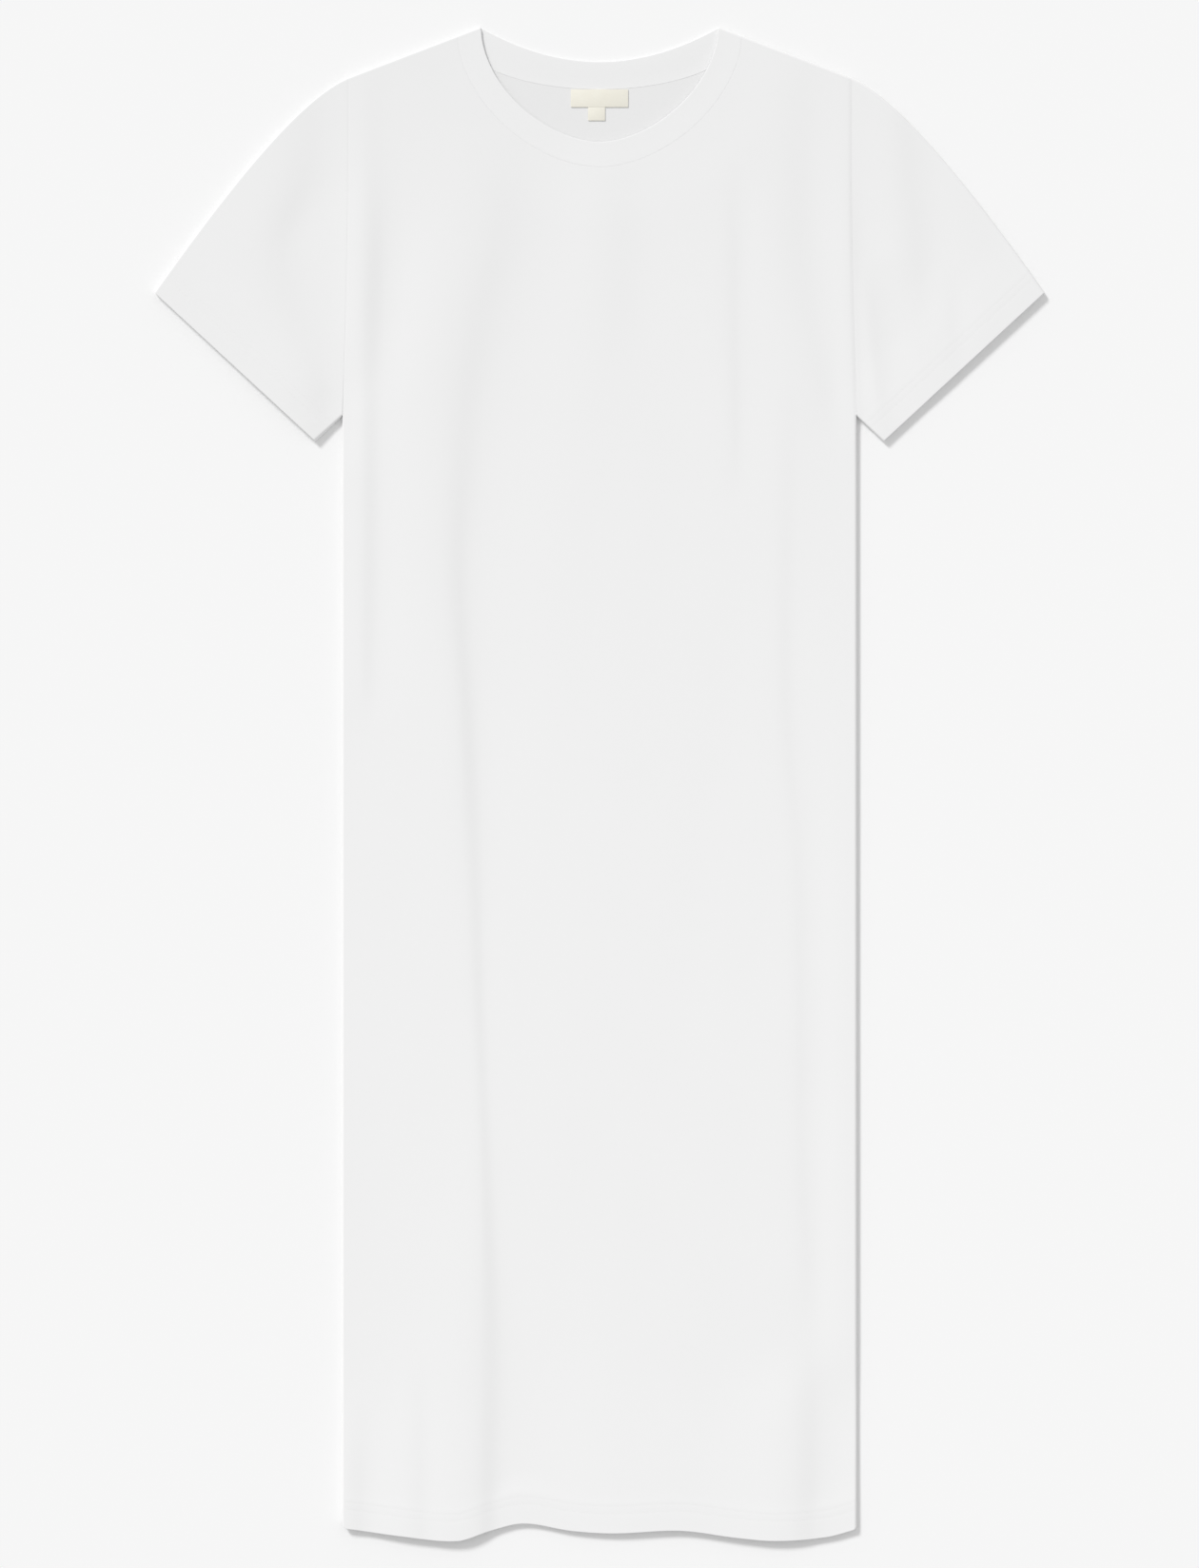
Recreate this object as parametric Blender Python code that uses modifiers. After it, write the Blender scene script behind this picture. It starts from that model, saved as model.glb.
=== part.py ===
"""T-shirt dress in plain jersey, laid flat on its back.

Metres, +Z up. X runs across the dress and +Y towards the neck. The dress rests on Z = 0, and the origin
is there, under the middle of its outline. The front lies over the back, and both roll into each other at
the closed edges: sides, shoulders, and the upper and lower edge of each sleeve. Neck, cuffs and hem are open.
Each piece that is cut and sewn is a wall of cloth of its own.
"""

import math
from collections import namedtuple

import bmesh
import bpy
from mathutils import Vector

MM = 0.001

# Cloth
WALL = 1.2 * MM
HEM_WALL = 2.2 * MM
BAND_WALL = 2.0 * MM
LABEL_WALL = 1.0 * MM
SEAM_GAP = 0.3 * MM
EDGE_RADIUS = 3.0 * MM
LOFT = 5.2 * MM

# Body
NECK_POINT = Vector((98 * MM, 620.5 * MM))
SHOULDER_POINT = Vector((206.5 * MM, 579 * MM))
ARMPIT = Vector((211 * MM, 301.5 * MM))
ARMHOLE_BOW = 1.6 * MM
HEM_DEPTH = 24 * MM
HEM_STEP = 1.5 * MM
HEM_CORNER = 3.5 * MM
BACK_HEM_Y = -605 * MM

# Neck
FRONT_NECK_DROP = 94 * MM
FRONT_NECK_ROUNDNESS = 1.75
BACK_NECK_DROP = 28 * MM
BAND_WIDTH = 20.5 * MM
BACK_BAND_WIDTH = 22.5 * MM
BAND_TURN = 0.3
BACK_SLIDE = 1.35

# Sleeve
CUFF_OUTER = Vector((365 * MM, 403 * MM))
CUFF_INNER = Vector((233 * MM, 281 * MM))
OVERARM_PULLS = (Vector((250 * MM, 561 * MM)), Vector((320 * MM, 467 * MM)))
CUFF_DEPTH = 22 * MM
CUFF_CORNER_UP, CUFF_CORNER_IN = 2.5 * MM, 1.5 * MM

# Labels, under the back of the neckband
MAIN_LABEL = Vector((47 * MM, 14.6 * MM))
SIZE_LABEL = Vector((14 * MM, 11 * MM))
SIZE_LABEL_X = -2.4 * MM

# Segments of each grid
ROLL_STEPS = 3
NECK_STEPS_FRONT, NECK_STEPS_BACK = 14, 10
SHOULDER_STEPS_FRONT, SHOULDER_STEPS_BACK = 6, 4
LOWER_ROWS_FRONT, LOWER_ROWS_BACK = 16, 6
UPPER_ROWS_FRONT, UPPER_ROWS_BACK = 12, 5
SLEEVE_RINGS, SLEEVE_ACROSS_FRONT, SLEEVE_ACROSS_BACK = 11, 14, 6
BAND_ACROSS = 3
OVERARM_STEPS = 36
FAN_START = 0.55
ON_EDGE = 0.06 * MM

JERSEY = ("white_jersey", (0.87, 0.87, 0.86), 0.92)
BAND_JERSEY = ("neckband_jersey", (0.89, 0.89, 0.88), 0.92)
LABEL_TAPE = ("label_tape", (0.86, 0.83, 0.74), 0.75)

# The front hem's edge, left to right. It swings where the folds reach it.
HemStation = namedtuple("HemStation", "x y")
HEM_STATIONS = [
    HemStation(-211, -610.0),
    HemStation(-164, -616.5),
    HemStation(-117, -620.5),
    HemStation(-90, -612.5),
    HemStation(-62, -606.5),
    HemStation(-23, -612.5),
    HemStation(12, -614.5),
    HemStation(66, -612.3),
    HemStation(112, -618.0),
    HemStation(144, -620.5),
    HemStation(186, -617.6),
    HemStation(211, -611.0),
]

# Soft folds of the front layer. Each is a fall to the right, with a ridge on the left of it that reaches
# `left` and a trough on the right that reaches `right`. Its stations run down it. Millimetres.
FoldStation = namedtuple("FoldStation", "x y width fall")
Fold = namedtuple("Fold", "left right stations")
LONG_FOLD_LEFT = Fold(60, 64, [
    FoldStation(-74, 540, 50, 0.2),
    FoldStation(-82, 447, 55, 2.3),
    FoldStation(-96, 385, 58, 2.8),
    FoldStation(-107, 330, 50, 3.0),
    FoldStation(-111, 291, 43, 2.9),
    FoldStation(-116, 174, 27, 2.7),
    FoldStation(-109, 57, 19, 2.3),
    FoldStation(-103, -60, 14, 1.35),
    FoldStation(-99, -177, 9, 1.0),
    FoldStation(-94, -294, 9, 1.0),
    FoldStation(-90, -410, 16, 1.9),
    FoldStation(-89, -489, 28, 3.4),
    FoldStation(-91, -551, 32, 4.4),
    FoldStation(-91, -640, 32, 4.4),
])
LONG_FOLD_RIGHT = Fold(45, 40, [
    FoldStation(158, 354, 14, 0.0),
    FoldStation(155, 290, 14, 0.4),
    FoldStation(152, 174, 12, 0.6),
    FoldStation(153, 57, 12, 0.8),
    FoldStation(162, -60, 11, 0.6),
    FoldStation(164, -177, 10, 0.55),
    FoldStation(165, -294, 10, 0.5),
    FoldStation(170, -400, 16, 0.8),
    FoldStation(171, -470, 24, 0.4),
    FoldStation(171, -515, 38, 2.8),
    FoldStation(171, -551, 40, 4.2),
    FoldStation(170, -590, 40, 3.8),
    FoldStation(170, -640, 40, 2.4),
])
SIDE_SWELL_RIGHT = Fold(20, 24, [
    FoldStation(186, 60, 26, 0.0),
    FoldStation(187, -60, 28, -0.5),
    FoldStation(188, -200, 30, -0.9),
    FoldStation(188, -330, 30, -0.9),
    FoldStation(188, -440, 28, -0.6),
    FoldStation(188, -520, 26, 0.0),
])
ARMHOLE_FOLD_LEFT = Fold(18, 36, [
    FoldStation(-186, 560, 24, 0.6),
    FoldStation(-186, 500, 26, 1.4),
    FoldStation(-185, 447, 28, 2.6),
    FoldStation(-187, 385, 24, 2.6),
    FoldStation(-188, 330, 16, 1.5),
    FoldStation(-188, 290, 13, 1.4),
    FoldStation(-189, 174, 14, 1.4),
    FoldStation(-190, 90, 12, 0.8),
    FoldStation(-190, 50, 10, 0.0),
])
ARMHOLE_FOLD_RIGHT = Fold(40, 24, [
    FoldStation(164, 560, 30, 0.6),
    FoldStation(163, 447, 47, 2.4),
    FoldStation(170, 385, 48, 2.5),
    FoldStation(183, 330, 22, 1.2),
    FoldStation(188, 285, 16, 0.0),
])
CHEST_FOLD = Fold(50, 45, [
    FoldStation(14, 540, 40, 0.0),
    FoldStation(16, 470, 44, 1.2),
    FoldStation(18, 400, 44, 1.3),
    FoldStation(20, 340, 40, 0.4),
    FoldStation(20, 290, 40, 0.0),
])
CHEST_FOLD_RIGHT = Fold(40, 26, [
    FoldStation(108, 520, 18, 0.0),
    FoldStation(109, 447, 16, 0.9),
    FoldStation(110, 360, 13, 0.8),
    FoldStation(111, 290, 11, 0.7),
    FoldStation(111, 230, 10, 0.0),
])
HEM_FOLD = Fold(20, 20, [
    FoldStation(-150, -470, 12, 0.0),
    FoldStation(-148, -540, 16, 1.0),
    FoldStation(-148, -640, 16, 1.1),
])
HEM_CORNER_FOLD = Fold(14, 20, [
    FoldStation(-197, -500, 24, 0.0),
    FoldStation(-198, -540, 26, 1.0),
    FoldStation(-199, -580, 26, 1.7),
    FoldStation(-200, -640, 26, 1.6),
])
SLEEVE_FOLD_LEFT = Fold(50, 38, [
    FoldStation(-240, 560, 36, 1.2),
    FoldStation(-243, 500, 46, 2.5),
    FoldStation(-261, 447, 36, 2.2),
    FoldStation(-258, 410, 42, 2.4),
    FoldStation(-246, 370, 56, 3.4),
    FoldStation(-230, 330, 44, 3.9),
    FoldStation(-228, 300, 36, 2.4),
])
SLEEVE_FOLD_RIGHT = Fold(26, 30, [
    FoldStation(250, 560, 36, 1.5),
    FoldStation(254, 500, 34, 1.9),
    FoldStation(260, 447, 34, 2.0),
    FoldStation(262, 410, 28, 1.4),
    FoldStation(266, 360, 24, 0.3),
])
UNDERARM_FOLD_RIGHT = Fold(10, 30, [
    FoldStation(220, 430, 20, 0.0),
    FoldStation(224, 385, 28, 2.0),
    FoldStation(230, 330, 22, 1.6),
    FoldStation(236, 296, 16, 0.3),
])
FOLDS = [
    LONG_FOLD_LEFT,
    LONG_FOLD_RIGHT,
    SIDE_SWELL_RIGHT,
    ARMHOLE_FOLD_LEFT,
    ARMHOLE_FOLD_RIGHT,
    CHEST_FOLD,
    CHEST_FOLD_RIGHT,
    HEM_FOLD,
    HEM_CORNER_FOLD,
    SLEEVE_FOLD_LEFT,
    SLEEVE_FOLD_RIGHT,
    UNDERARM_FOLD_RIGHT,
]
FOLD_FADE = 30
HEM_LIFT, HEM_LIFT_REACH = 0.9 * MM, 110 * MM
CUFF_LIFT, CUFF_LIFT_REACH = 0.5 * MM, 40 * MM
HIGHEST_RISE, DEEPEST_FALL = 2.1 * MM, 2.4 * MM
DEEPEST_FALL_AT_HEM, THICK_REACH = 1.4 * MM, 12 * MM


def clear_scene():
    for thing in list(bpy.data.objects):
        bpy.data.objects.remove(thing, do_unlink=True)


def ease(t):
    """0 to 1 with a soft start and end."""
    t = min(1.0, max(0.0, t))
    return t * t * (3 - 2 * t)


def between(a, b, t):
    return a + (b - a) * t


def mirrored(point, side):
    return Vector((side * point.x, point.y))


SHOULDER_LINE = (SHOULDER_POINT - NECK_POINT).normalized()
SHOULDER_OUT = Vector((-SHOULDER_LINE.y, SHOULDER_LINE.x))
BAND_END = NECK_POINT + SHOULDER_LINE * BAND_WIDTH
BAND_START = NECK_POINT - SHOULDER_OUT * EDGE_RADIUS
BACK_START = BAND_START - Vector((BACK_SLIDE * EDGE_RADIUS, 0))


def smooth_through(rows, along, column, at):
    """A column's value at a place along a table, on a smooth curve through its rows."""
    places = [getattr(row, along) for row in rows]
    values = [getattr(row, column) for row in rows]
    way = 1 if places[-1] > places[0] else -1
    last = len(rows) - 1
    i = max(k for k in range(last) if k == 0 or (at - places[k]) * way >= 0)
    before, after = max(i - 1, 0), min(i + 2, last)
    span = places[i + 1] - places[i]
    t = min(1.0, max(0.0, (at - places[i]) / span))
    slope_a = (values[i + 1] - values[before]) / (places[i + 1] - places[before]) * span
    slope_b = (values[after] - values[i]) / (places[after] - places[i]) * span
    value = (2 * t**3 - 3 * t**2 + 1) * values[i] + (t**3 - 2 * t**2 + t) * slope_a
    return value + (3 * t**2 - 2 * t**3) * values[i + 1] + (t**3 - t**2) * slope_b


def hem_y(x):
    """The front hem's edge at x, a smooth line through its stations, with a small round corner."""
    y = smooth_through(HEM_STATIONS, "x", "y", x / MM) * MM
    corner = min(HEM_CORNER, max(0.0, abs(x) - ARMPIT.x + HEM_CORNER))
    return y + HEM_CORNER - math.sqrt(HEM_CORNER**2 - corner**2)


def back_hem_y(x):
    return BACK_HEM_Y


def half_width(y):
    """Half the body's width: its side below the armpit, the armhole seam above it."""
    t = min(1.0, max(0.0, (y - ARMPIT.y) / (SHOULDER_POINT.y - ARMPIT.y)))
    return between(ARMPIT.x, SHOULDER_POINT.x, t) - ARMHOLE_BOW * math.sin(math.pi * t)


def overarm(t):
    """The sleeve's upper edge, a cubic curve from the shoulder point to the cuff."""
    a, b = OVERARM_PULLS
    s = 1 - t
    return s**3 * SHOULDER_POINT + 3 * s * s * t * a + 3 * s * t * t * b + t**3 * CUFF_OUTER


def closed_edge():
    """The right half's closed edges as (start, end, outward normal)."""
    rows = []
    side = [Vector((ARMPIT.x, 2 * BACK_HEM_Y)), ARMPIT, CUFF_INNER]
    over = [overarm(1 - k / OVERARM_STEPS) for k in range(OVERARM_STEPS + 1)] + [NECK_POINT]
    for line in (side, over):
        for start, end in zip(line, line[1:]):
            along = (end - start).normalized()
            rows.append((start, end, Vector((along.y, -along.x))))
    return rows


CLOSED_EDGE = closed_edge()


def edge_at(point):
    """(distance to the nearest closed edge, the direction out over it)."""
    side = -1 if point.x < 0 else 1
    here = mirrored(point, side)
    best, out = 1.0, Vector((1, 0))
    for start, end, normal in CLOSED_EDGE:
        span = end - start
        t = min(1.0, max(0.0, (here - start).dot(span) / span.length_squared))
        away = start + span * t - here
        if away.length < best - ON_EDGE / 4:
            best = away.length
            out = normal if best < ON_EDGE else away.normalized()
    return best, mirrored(out, side)


def fold_rise(fold, x, y):
    """What one fold adds to the height at x, y, all in millimetres."""
    middle, width, fall = (smooth_through(fold.stations, "y", name, y) for name in ("x", "width", "fall"))
    past = max(0.0, y - fold.stations[0].y, fold.stations[-1].y - y)
    off = x - middle
    reach = fold.left if off < 0 else fold.right
    strength = math.exp(-((past / FOLD_FADE) ** 2) - (off / reach) ** 2)
    return -fall / 2 * strength * math.tanh(2 * off / width)


def kept_within(rise, highest, deepest):
    """A rise rounded off softly, so the cloth neither towers up nor sinks into the layer below."""
    most = highest if rise > 0 else deepest
    return most * math.tanh(rise / most)


def front_level(point):
    """Height of the front layer's outer face away from the rolled edges."""
    rise = sum(fold_rise(fold, point.x / MM, point.y / MM) for fold in FOLDS) * MM
    past_hem = point.y - hem_y(point.x) - HEM_DEPTH
    on_body = abs(point.x) < half_width(point.y)
    past_cuff = 1.0 if on_body else cuff_distance(point) - CUFF_DEPTH
    thin = ease((min(past_hem, past_cuff) - 2 * HEM_STEP) / THICK_REACH)
    hem = HEM_LIFT * (1 - ease(past_hem / HEM_LIFT_REACH))
    cuff = CUFF_LIFT * (1 - ease(past_cuff / CUFF_LIFT_REACH))
    deepest = between(DEEPEST_FALL_AT_HEM, DEEPEST_FALL, thin)
    return LOFT + hem + cuff + kept_within(rise, HIGHEST_RISE, deepest)


def cuff_distance(point):
    """Distance from the cuff's edge, measured up the sleeve."""
    along = (CUFF_INNER - CUFF_OUTER).normalized()
    up_sleeve = Vector((along.y, -along.x))
    return abs((mirrored(point, -1 if point.x < 0 else 1) - CUFF_OUTER).dot(up_sleeve))


def wall_points(point, wall, layer, gap=0.0):
    """Outer and inner point of a wall over a plan point. Layer is 1 for the front and -1 for the back.

    Within one radius of a closed edge both follow a quarter circle, so front and back meet level."""
    distance, out = edge_at(point)
    angle = math.acos(1 - min(distance, EDGE_RADIUS) / EDGE_RADIUS)
    level = front_level(point) if layer > 0 else 0.0
    start = EDGE_RADIUS + layer * gap / 2
    outer = Vector((point.x, point.y, between(start, level, math.sin(angle))))
    inset = out * (wall * math.cos(angle))
    inner = Vector((point.x - inset.x, point.y - inset.y, 0))
    inner.z = between(start, level - layer * wall, math.sin(angle))
    return outer, inner


def grid_wall(name, columns, rows, plan, closed_round=False):
    """A wall of cloth: a grid whose points plan(column, row) places as (outer, inner), given a second
    layer and a rim by Solidify."""
    bm = bmesh.new()
    bmesh.ops.create_grid(bm, x_segments=columns, y_segments=rows, size=0.5)
    inner_of = {}
    for vert in bm.verts:
        column = round((vert.co.x + 0.5) * columns)
        row = round((vert.co.y + 0.5) * rows)
        outer, inner = plan(column % columns if closed_round else column, row)
        vert.co = outer
        inner_of[tuple(vert.co)] = inner
    if closed_round:
        bmesh.ops.remove_doubles(bm, verts=bm.verts, dist=0.01 * MM)
    mesh = bpy.data.meshes.new(name)
    bm.to_mesh(mesh)
    bm.free()
    wall = bpy.data.objects.new(name, mesh)
    DRESS.objects.link(wall)
    solidify = wall.modifiers.new("cloth", "SOLIDIFY")
    solidify.thickness = WALL
    solidify.offset = -1
    apply_modifiers(wall)
    count = len(mesh.vertices) // 2
    for k in range(count):
        mesh.vertices[count + k].co = inner_of[tuple(mesh.vertices[k].co)]
    face_out(mesh)
    return wall


def apply_modifiers(thing):
    bpy.context.view_layer.objects.active = thing
    for modifier in list(thing.modifiers):
        bpy.ops.object.modifier_apply(modifier=modifier.name)


def face_out(mesh):
    bm = bmesh.new()
    bm.from_mesh(mesh)
    bmesh.ops.recalc_face_normals(bm, faces=bm.faces)
    if bm.calc_volume(signed=True) < 0:
        bmesh.ops.reverse_faces(bm, faces=bm.faces)
    bm.to_mesh(mesh)
    bm.free()


def finish(thing, finish_of):
    """The piece's own material, and soft shading that keeps the cut edges sharp."""
    name, colour, roughness = finish_of
    material = bpy.data.materials.new(f"{thing.name}_{name}")
    material.use_nodes = True
    shader = material.node_tree.nodes["Principled BSDF"]
    shader.inputs["Base Color"].default_value = (*colour, 1)
    shader.inputs["Roughness"].default_value = roughness
    shader.inputs["Metallic"].default_value = 0
    thing.data.materials.append(material)
    thing.data.shade_smooth()
    thing.data.set_sharp_from_angle(angle=math.radians(50))
    return thing


def roll_insets():
    """How far in from a closed edge the grid lines of the roll lie, from the edge inwards."""
    return [EDGE_RADIUS * (1 - math.cos(math.pi / 2 * k / ROLL_STEPS)) for k in range(ROLL_STEPS + 1)]


def front_neck(t, beyond=0.0):
    """The band's (free edge, seam edge) over the front, t from 0 at the shoulder to 1 at the middle.

    The free edge is a flattened half ellipse. The band lies along the shoulder seam first, then square
    to its free edge."""
    depth = FRONT_NECK_DROP - NECK_POINT.y + BAND_START.y
    power = 2 / FRONT_NECK_ROUNDNESS
    across, down = math.cos(math.pi / 2 * t), math.sin(math.pi / 2 * t)
    free = BAND_START - Vector((BAND_START.x * (1 - across**power), depth * down**power))
    square = Vector((across ** (2 - power) / BAND_START.x, -(down ** (2 - power)) / depth)).normalized()
    direction = SHOULDER_LINE.lerp(square, ease(t / BAND_TURN)).normalized()
    return free, free + direction * (BAND_WIDTH + beyond)


def back_neck(t, beyond=0.0):
    """The same at the back: a shallow free edge, and a seam edge that is part of an ellipse."""
    depth = BACK_NECK_DROP - NECK_POINT.y + BACK_START.y
    free = BACK_START - Vector((BACK_START.x * t, depth * (1 - (1 - t) ** 2)))
    corner = BAND_START + SHOULDER_LINE * BAND_WIDTH
    drop = depth + BACK_BAND_WIDTH
    rise = (BAND_START.y - corner.y) / drop
    half = corner.x / math.sqrt(1 - rise**2)
    angle = between(math.asin(rise), math.pi / 2, t)
    seam = Vector(((half + beyond) * math.cos(angle), BAND_START.y - (drop + beyond) * math.sin(angle)))
    return free, seam


def top_line(front):
    """The panel's top edge on the right, from the armhole to the middle of the neck."""
    shoulder_steps = SHOULDER_STEPS_FRONT if front else SHOULDER_STEPS_BACK
    neck_steps = NECK_STEPS_FRONT if front else NECK_STEPS_BACK
    corner = BAND_END + SHOULDER_LINE * SEAM_GAP
    armhole_end = SHOULDER_POINT - SHOULDER_LINE * EDGE_RADIUS
    line = [SHOULDER_POINT - SHOULDER_LINE * inset for inset in roll_insets()]
    line += [between(armhole_end, corner, k / shoulder_steps) for k in range(1, shoulder_steps + 1)]
    line += [corner - SHOULDER_OUT * inset for inset in roll_insets()[1:-1]]
    neck = front_neck if front else back_neck
    line += [neck(k / neck_steps, SEAM_GAP)[1] for k in range(neck_steps + 1)]
    return line


def panel_rows(front):
    """Rows up the panel as (share of the run between, distance from the hem, distance from the top)."""
    lower = LOWER_ROWS_FRONT if front else LOWER_ROWS_BACK
    upper = UPPER_ROWS_FRONT if front else UPPER_ROWS_BACK
    hem = hem_y(ARMPIT.x) if front else BACK_HEM_Y
    low, high = HEM_DEPTH + HEM_STEP, EDGE_RADIUS
    run = SHOULDER_POINT.y - high - hem - low
    armpit = (ARMPIT.y - hem - low) / run
    shares = [armpit * k / lower for k in range(lower + 1)]
    shares += [armpit + inset / run for inset in roll_insets()[2:]]
    start = shares[-1]
    shares += [between(start, 1, k / upper) for k in range(1, upper + 1)]
    rows = [(0, -low), (0, -low / 2), (0, -HEM_STEP)]
    rows += [(share, 0) for share in shares]
    rows += [(1, high - inset) for inset in roll_insets()[-2::-1]]
    return rows


def body_panel(name, front):
    """Front or back: columns run from the hem to the top line, closer together under the neck."""
    right = top_line(front)
    tops = [mirrored(p, -1) for p in right] + list(reversed(right[:-1]))
    rows = panel_rows(front)
    rolled = roll_insets()
    steps = len(right) - 1
    edge_of = hem_y if front else back_hem_y
    low, high = HEM_DEPTH + HEM_STEP, EDGE_RADIUS

    def plan(column, row):
        side = -1 if column < len(right) else 1
        step = column if side < 0 else 2 * steps - column
        top = tops[column]
        share, nudge = rows[row]
        at_side = step < len(rolled)
        even = 1 - (step - ROLL_STEPS) / (steps - ROLL_STEPS)
        x_low = side * (ARMPIT.x - rolled[step] if at_side else (ARMPIT.x - EDGE_RADIUS) * even)
        hem = edge_of(x_low)
        y = between(hem + low, top.y - high, share) + nudge
        if at_side:
            x = side * (half_width(y) - rolled[step])
            if share == 1:
                x = top.x + (y - top.y) * SHOULDER_OUT.x / SHOULDER_OUT.y * side
        else:
            reach = (half_width(y) - EDGE_RADIUS) / (ARMPIT.x - EDGE_RADIUS)
            top_reach = (half_width(top.y) - EDGE_RADIUS) / (ARMPIT.x - EDGE_RADIUS)
            spread = ease((share - FAN_START) / (1 - FAN_START))
            x = between(x_low, top.x / top_reach, spread) * reach
        point = Vector((x, y))
        wall = between(HEM_WALL, WALL, ease((y - hem - HEM_DEPTH) / HEM_STEP))
        return wall_points(point, wall, 1 if front else -1, SEAM_GAP)

    return finish(grid_wall(name, 2 * steps, len(rows) - 1, plan), JERSEY)


def sleeve(name, side):
    """One sleeve as a flat tube: rings from the armhole to the cuff, each over the front and back again."""
    insets = roll_insets()
    run = SLEEVE_ACROSS_FRONT, SLEEVE_ACROSS_BACK
    across = [(k / ROLL_STEPS, 0, 1) for k in range(ROLL_STEPS)]
    across += [(1, k / run[0], 1) for k in range(run[0] + 1)]
    across += [(1 + k / ROLL_STEPS, 1, 1) for k in range(1, ROLL_STEPS + 1)]
    back = [(2 - k / ROLL_STEPS, 1, -1) for k in range(1, ROLL_STEPS)]
    back += [(1, 1 - k / run[1], -1) for k in range(run[1] + 1)]
    back += [(1 - k / ROLL_STEPS, 0, -1) for k in range(1, ROLL_STEPS)]
    across += back
    underarm = CUFF_INNER - ARMPIT
    cuff_run = (CUFF_DEPTH + HEM_STEP) / (CUFF_OUTER - SHOULDER_POINT).length
    shares = [(1 - cuff_run) * k / SLEEVE_RINGS for k in range(SLEEVE_RINGS + 1)]
    shares += [1 - CUFF_DEPTH / (CUFF_OUTER - SHOULDER_POINT).length]
    shares += [1 - CUFF_CORNER_UP / (CUFF_OUTER - SHOULDER_POINT).length, 1]

    def plan(column, row):
        roll, flat, layer = across[column]
        share = shares[row]
        top = overarm(max(share, SEAM_GAP / (3 * (OVERARM_PULLS[0] - SHOULDER_POINT).length)))
        bottom = ARMPIT + underarm * max(share, SEAM_GAP / underarm.x)
        length = (bottom - top).length
        ends = CUFF_CORNER_IN if row == len(shares) - 1 else 0.0
        if roll < 1:
            run_in = insets[round(roll * ROLL_STEPS)]
        elif roll > 1:
            run_in = length - insets[round((2 - roll) * ROLL_STEPS)]
        else:
            run_in = between(EDGE_RADIUS, length - EDGE_RADIUS, flat)
        run_in = min(length - ends, max(ends, run_in))
        point = top + (bottom - top) * (run_in / length)
        bow = math.sin(math.pi * run_in / length) * (1 - share) ** 2
        point.x -= ARMHOLE_BOW * bow
        wall = between(WALL, HEM_WALL, 1 if share > 1 - cuff_run else 0)
        return wall_points(mirrored(point, side), wall, layer)

    return finish(grid_wall(name, len(across), len(shares) - 1, plan, closed_round=True), JERSEY)


def band_sections():
    """The neckband's sections round the neck as (free edge, seam edge, layer), front first."""
    turn = [(NECK_POINT - SHOULDER_OUT * i, BAND_END - SHOULDER_OUT * i) for i in roll_insets()[:-1]]
    slide = [Vector((BACK_SLIDE * i, 0)) for i in roll_insets()[:-1]]
    over = turn + [front_neck(k / NECK_STEPS_FRONT) for k in range(NECK_STEPS_FRONT + 1)]
    under = [(free - along, seam) for (free, seam), along in zip(turn[1:], slide[1:])]
    under += [back_neck(k / NECK_STEPS_BACK) for k in range(NECK_STEPS_BACK + 1)]
    ring = [(*pair, 1) for pair in over]
    ring += [(mirrored(a, -1), mirrored(b, -1), 1) for a, b in reversed(over[:-1])]
    ring += [(mirrored(a, -1), mirrored(b, -1), -1) for a, b in under]
    ring += [(*pair, -1) for pair in reversed(under[:-1])]
    return ring


def neckband():
    """A strip folded double, closed round the neck: over the front, round the shoulders, under the back."""
    sections = band_sections()

    def plan(column, row):
        free, seam, layer = sections[column]
        point = between(free, seam, row / BAND_ACROSS)
        return wall_points(point, BAND_WALL, layer)

    return finish(grid_wall("neckband", len(sections), BAND_ACROSS, plan, closed_round=True), BAND_JERSEY)


def label(name, size, top, middle_x):
    """A woven label lying on the inside of the back, its upper edge at top."""
    z = WALL + SEAM_GAP + LABEL_WALL / 2
    bpy.ops.mesh.primitive_cube_add(size=1, location=(middle_x, top - size.y / 2, z))
    thing = bpy.context.object
    thing.name = name
    thing.scale = (size.x, size.y, LABEL_WALL)
    bpy.ops.object.transform_apply(location=False, rotation=False, scale=True)
    for collection in list(thing.users_collection):
        collection.objects.unlink(thing)
    DRESS.objects.link(thing)
    bevel = thing.modifiers.new("soft_edge", "BEVEL")
    bevel.width = 0.25 * MM
    bevel.segments = 2
    return finish(thing, LABEL_TAPE)


def labels():
    top = back_neck(1)[1].y - 2 * SEAM_GAP
    label("main_label", MAIN_LABEL, top, 0)
    label("size_label", SIZE_LABEL, top - MAIN_LABEL.y - SEAM_GAP, SIZE_LABEL_X)


clear_scene()
DRESS = bpy.data.collections.new("t_shirt_dress")
bpy.context.scene.collection.children.link(DRESS)
body_panel("front", True)
body_panel("back", False)
sleeve("sleeve_left", -1)
sleeve("sleeve_right", 1)
neckband()
labels()
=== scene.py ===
# %% [markdown]
# # A t-shirt dress in plain jersey, laid flat
# A t-shirt dress is cut from one soft knit. A maker sews a front and a back panel, two sleeves and a
# narrow band round the neck, turns the hems up, and stitches a small label inside the neck. Here it lies
# on its back and is seen from straight above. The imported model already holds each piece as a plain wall
# of cloth. This lesson lays a finer piece over each of them, with its folds, hems, stitches and knit.

import math
from collections import namedtuple

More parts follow.
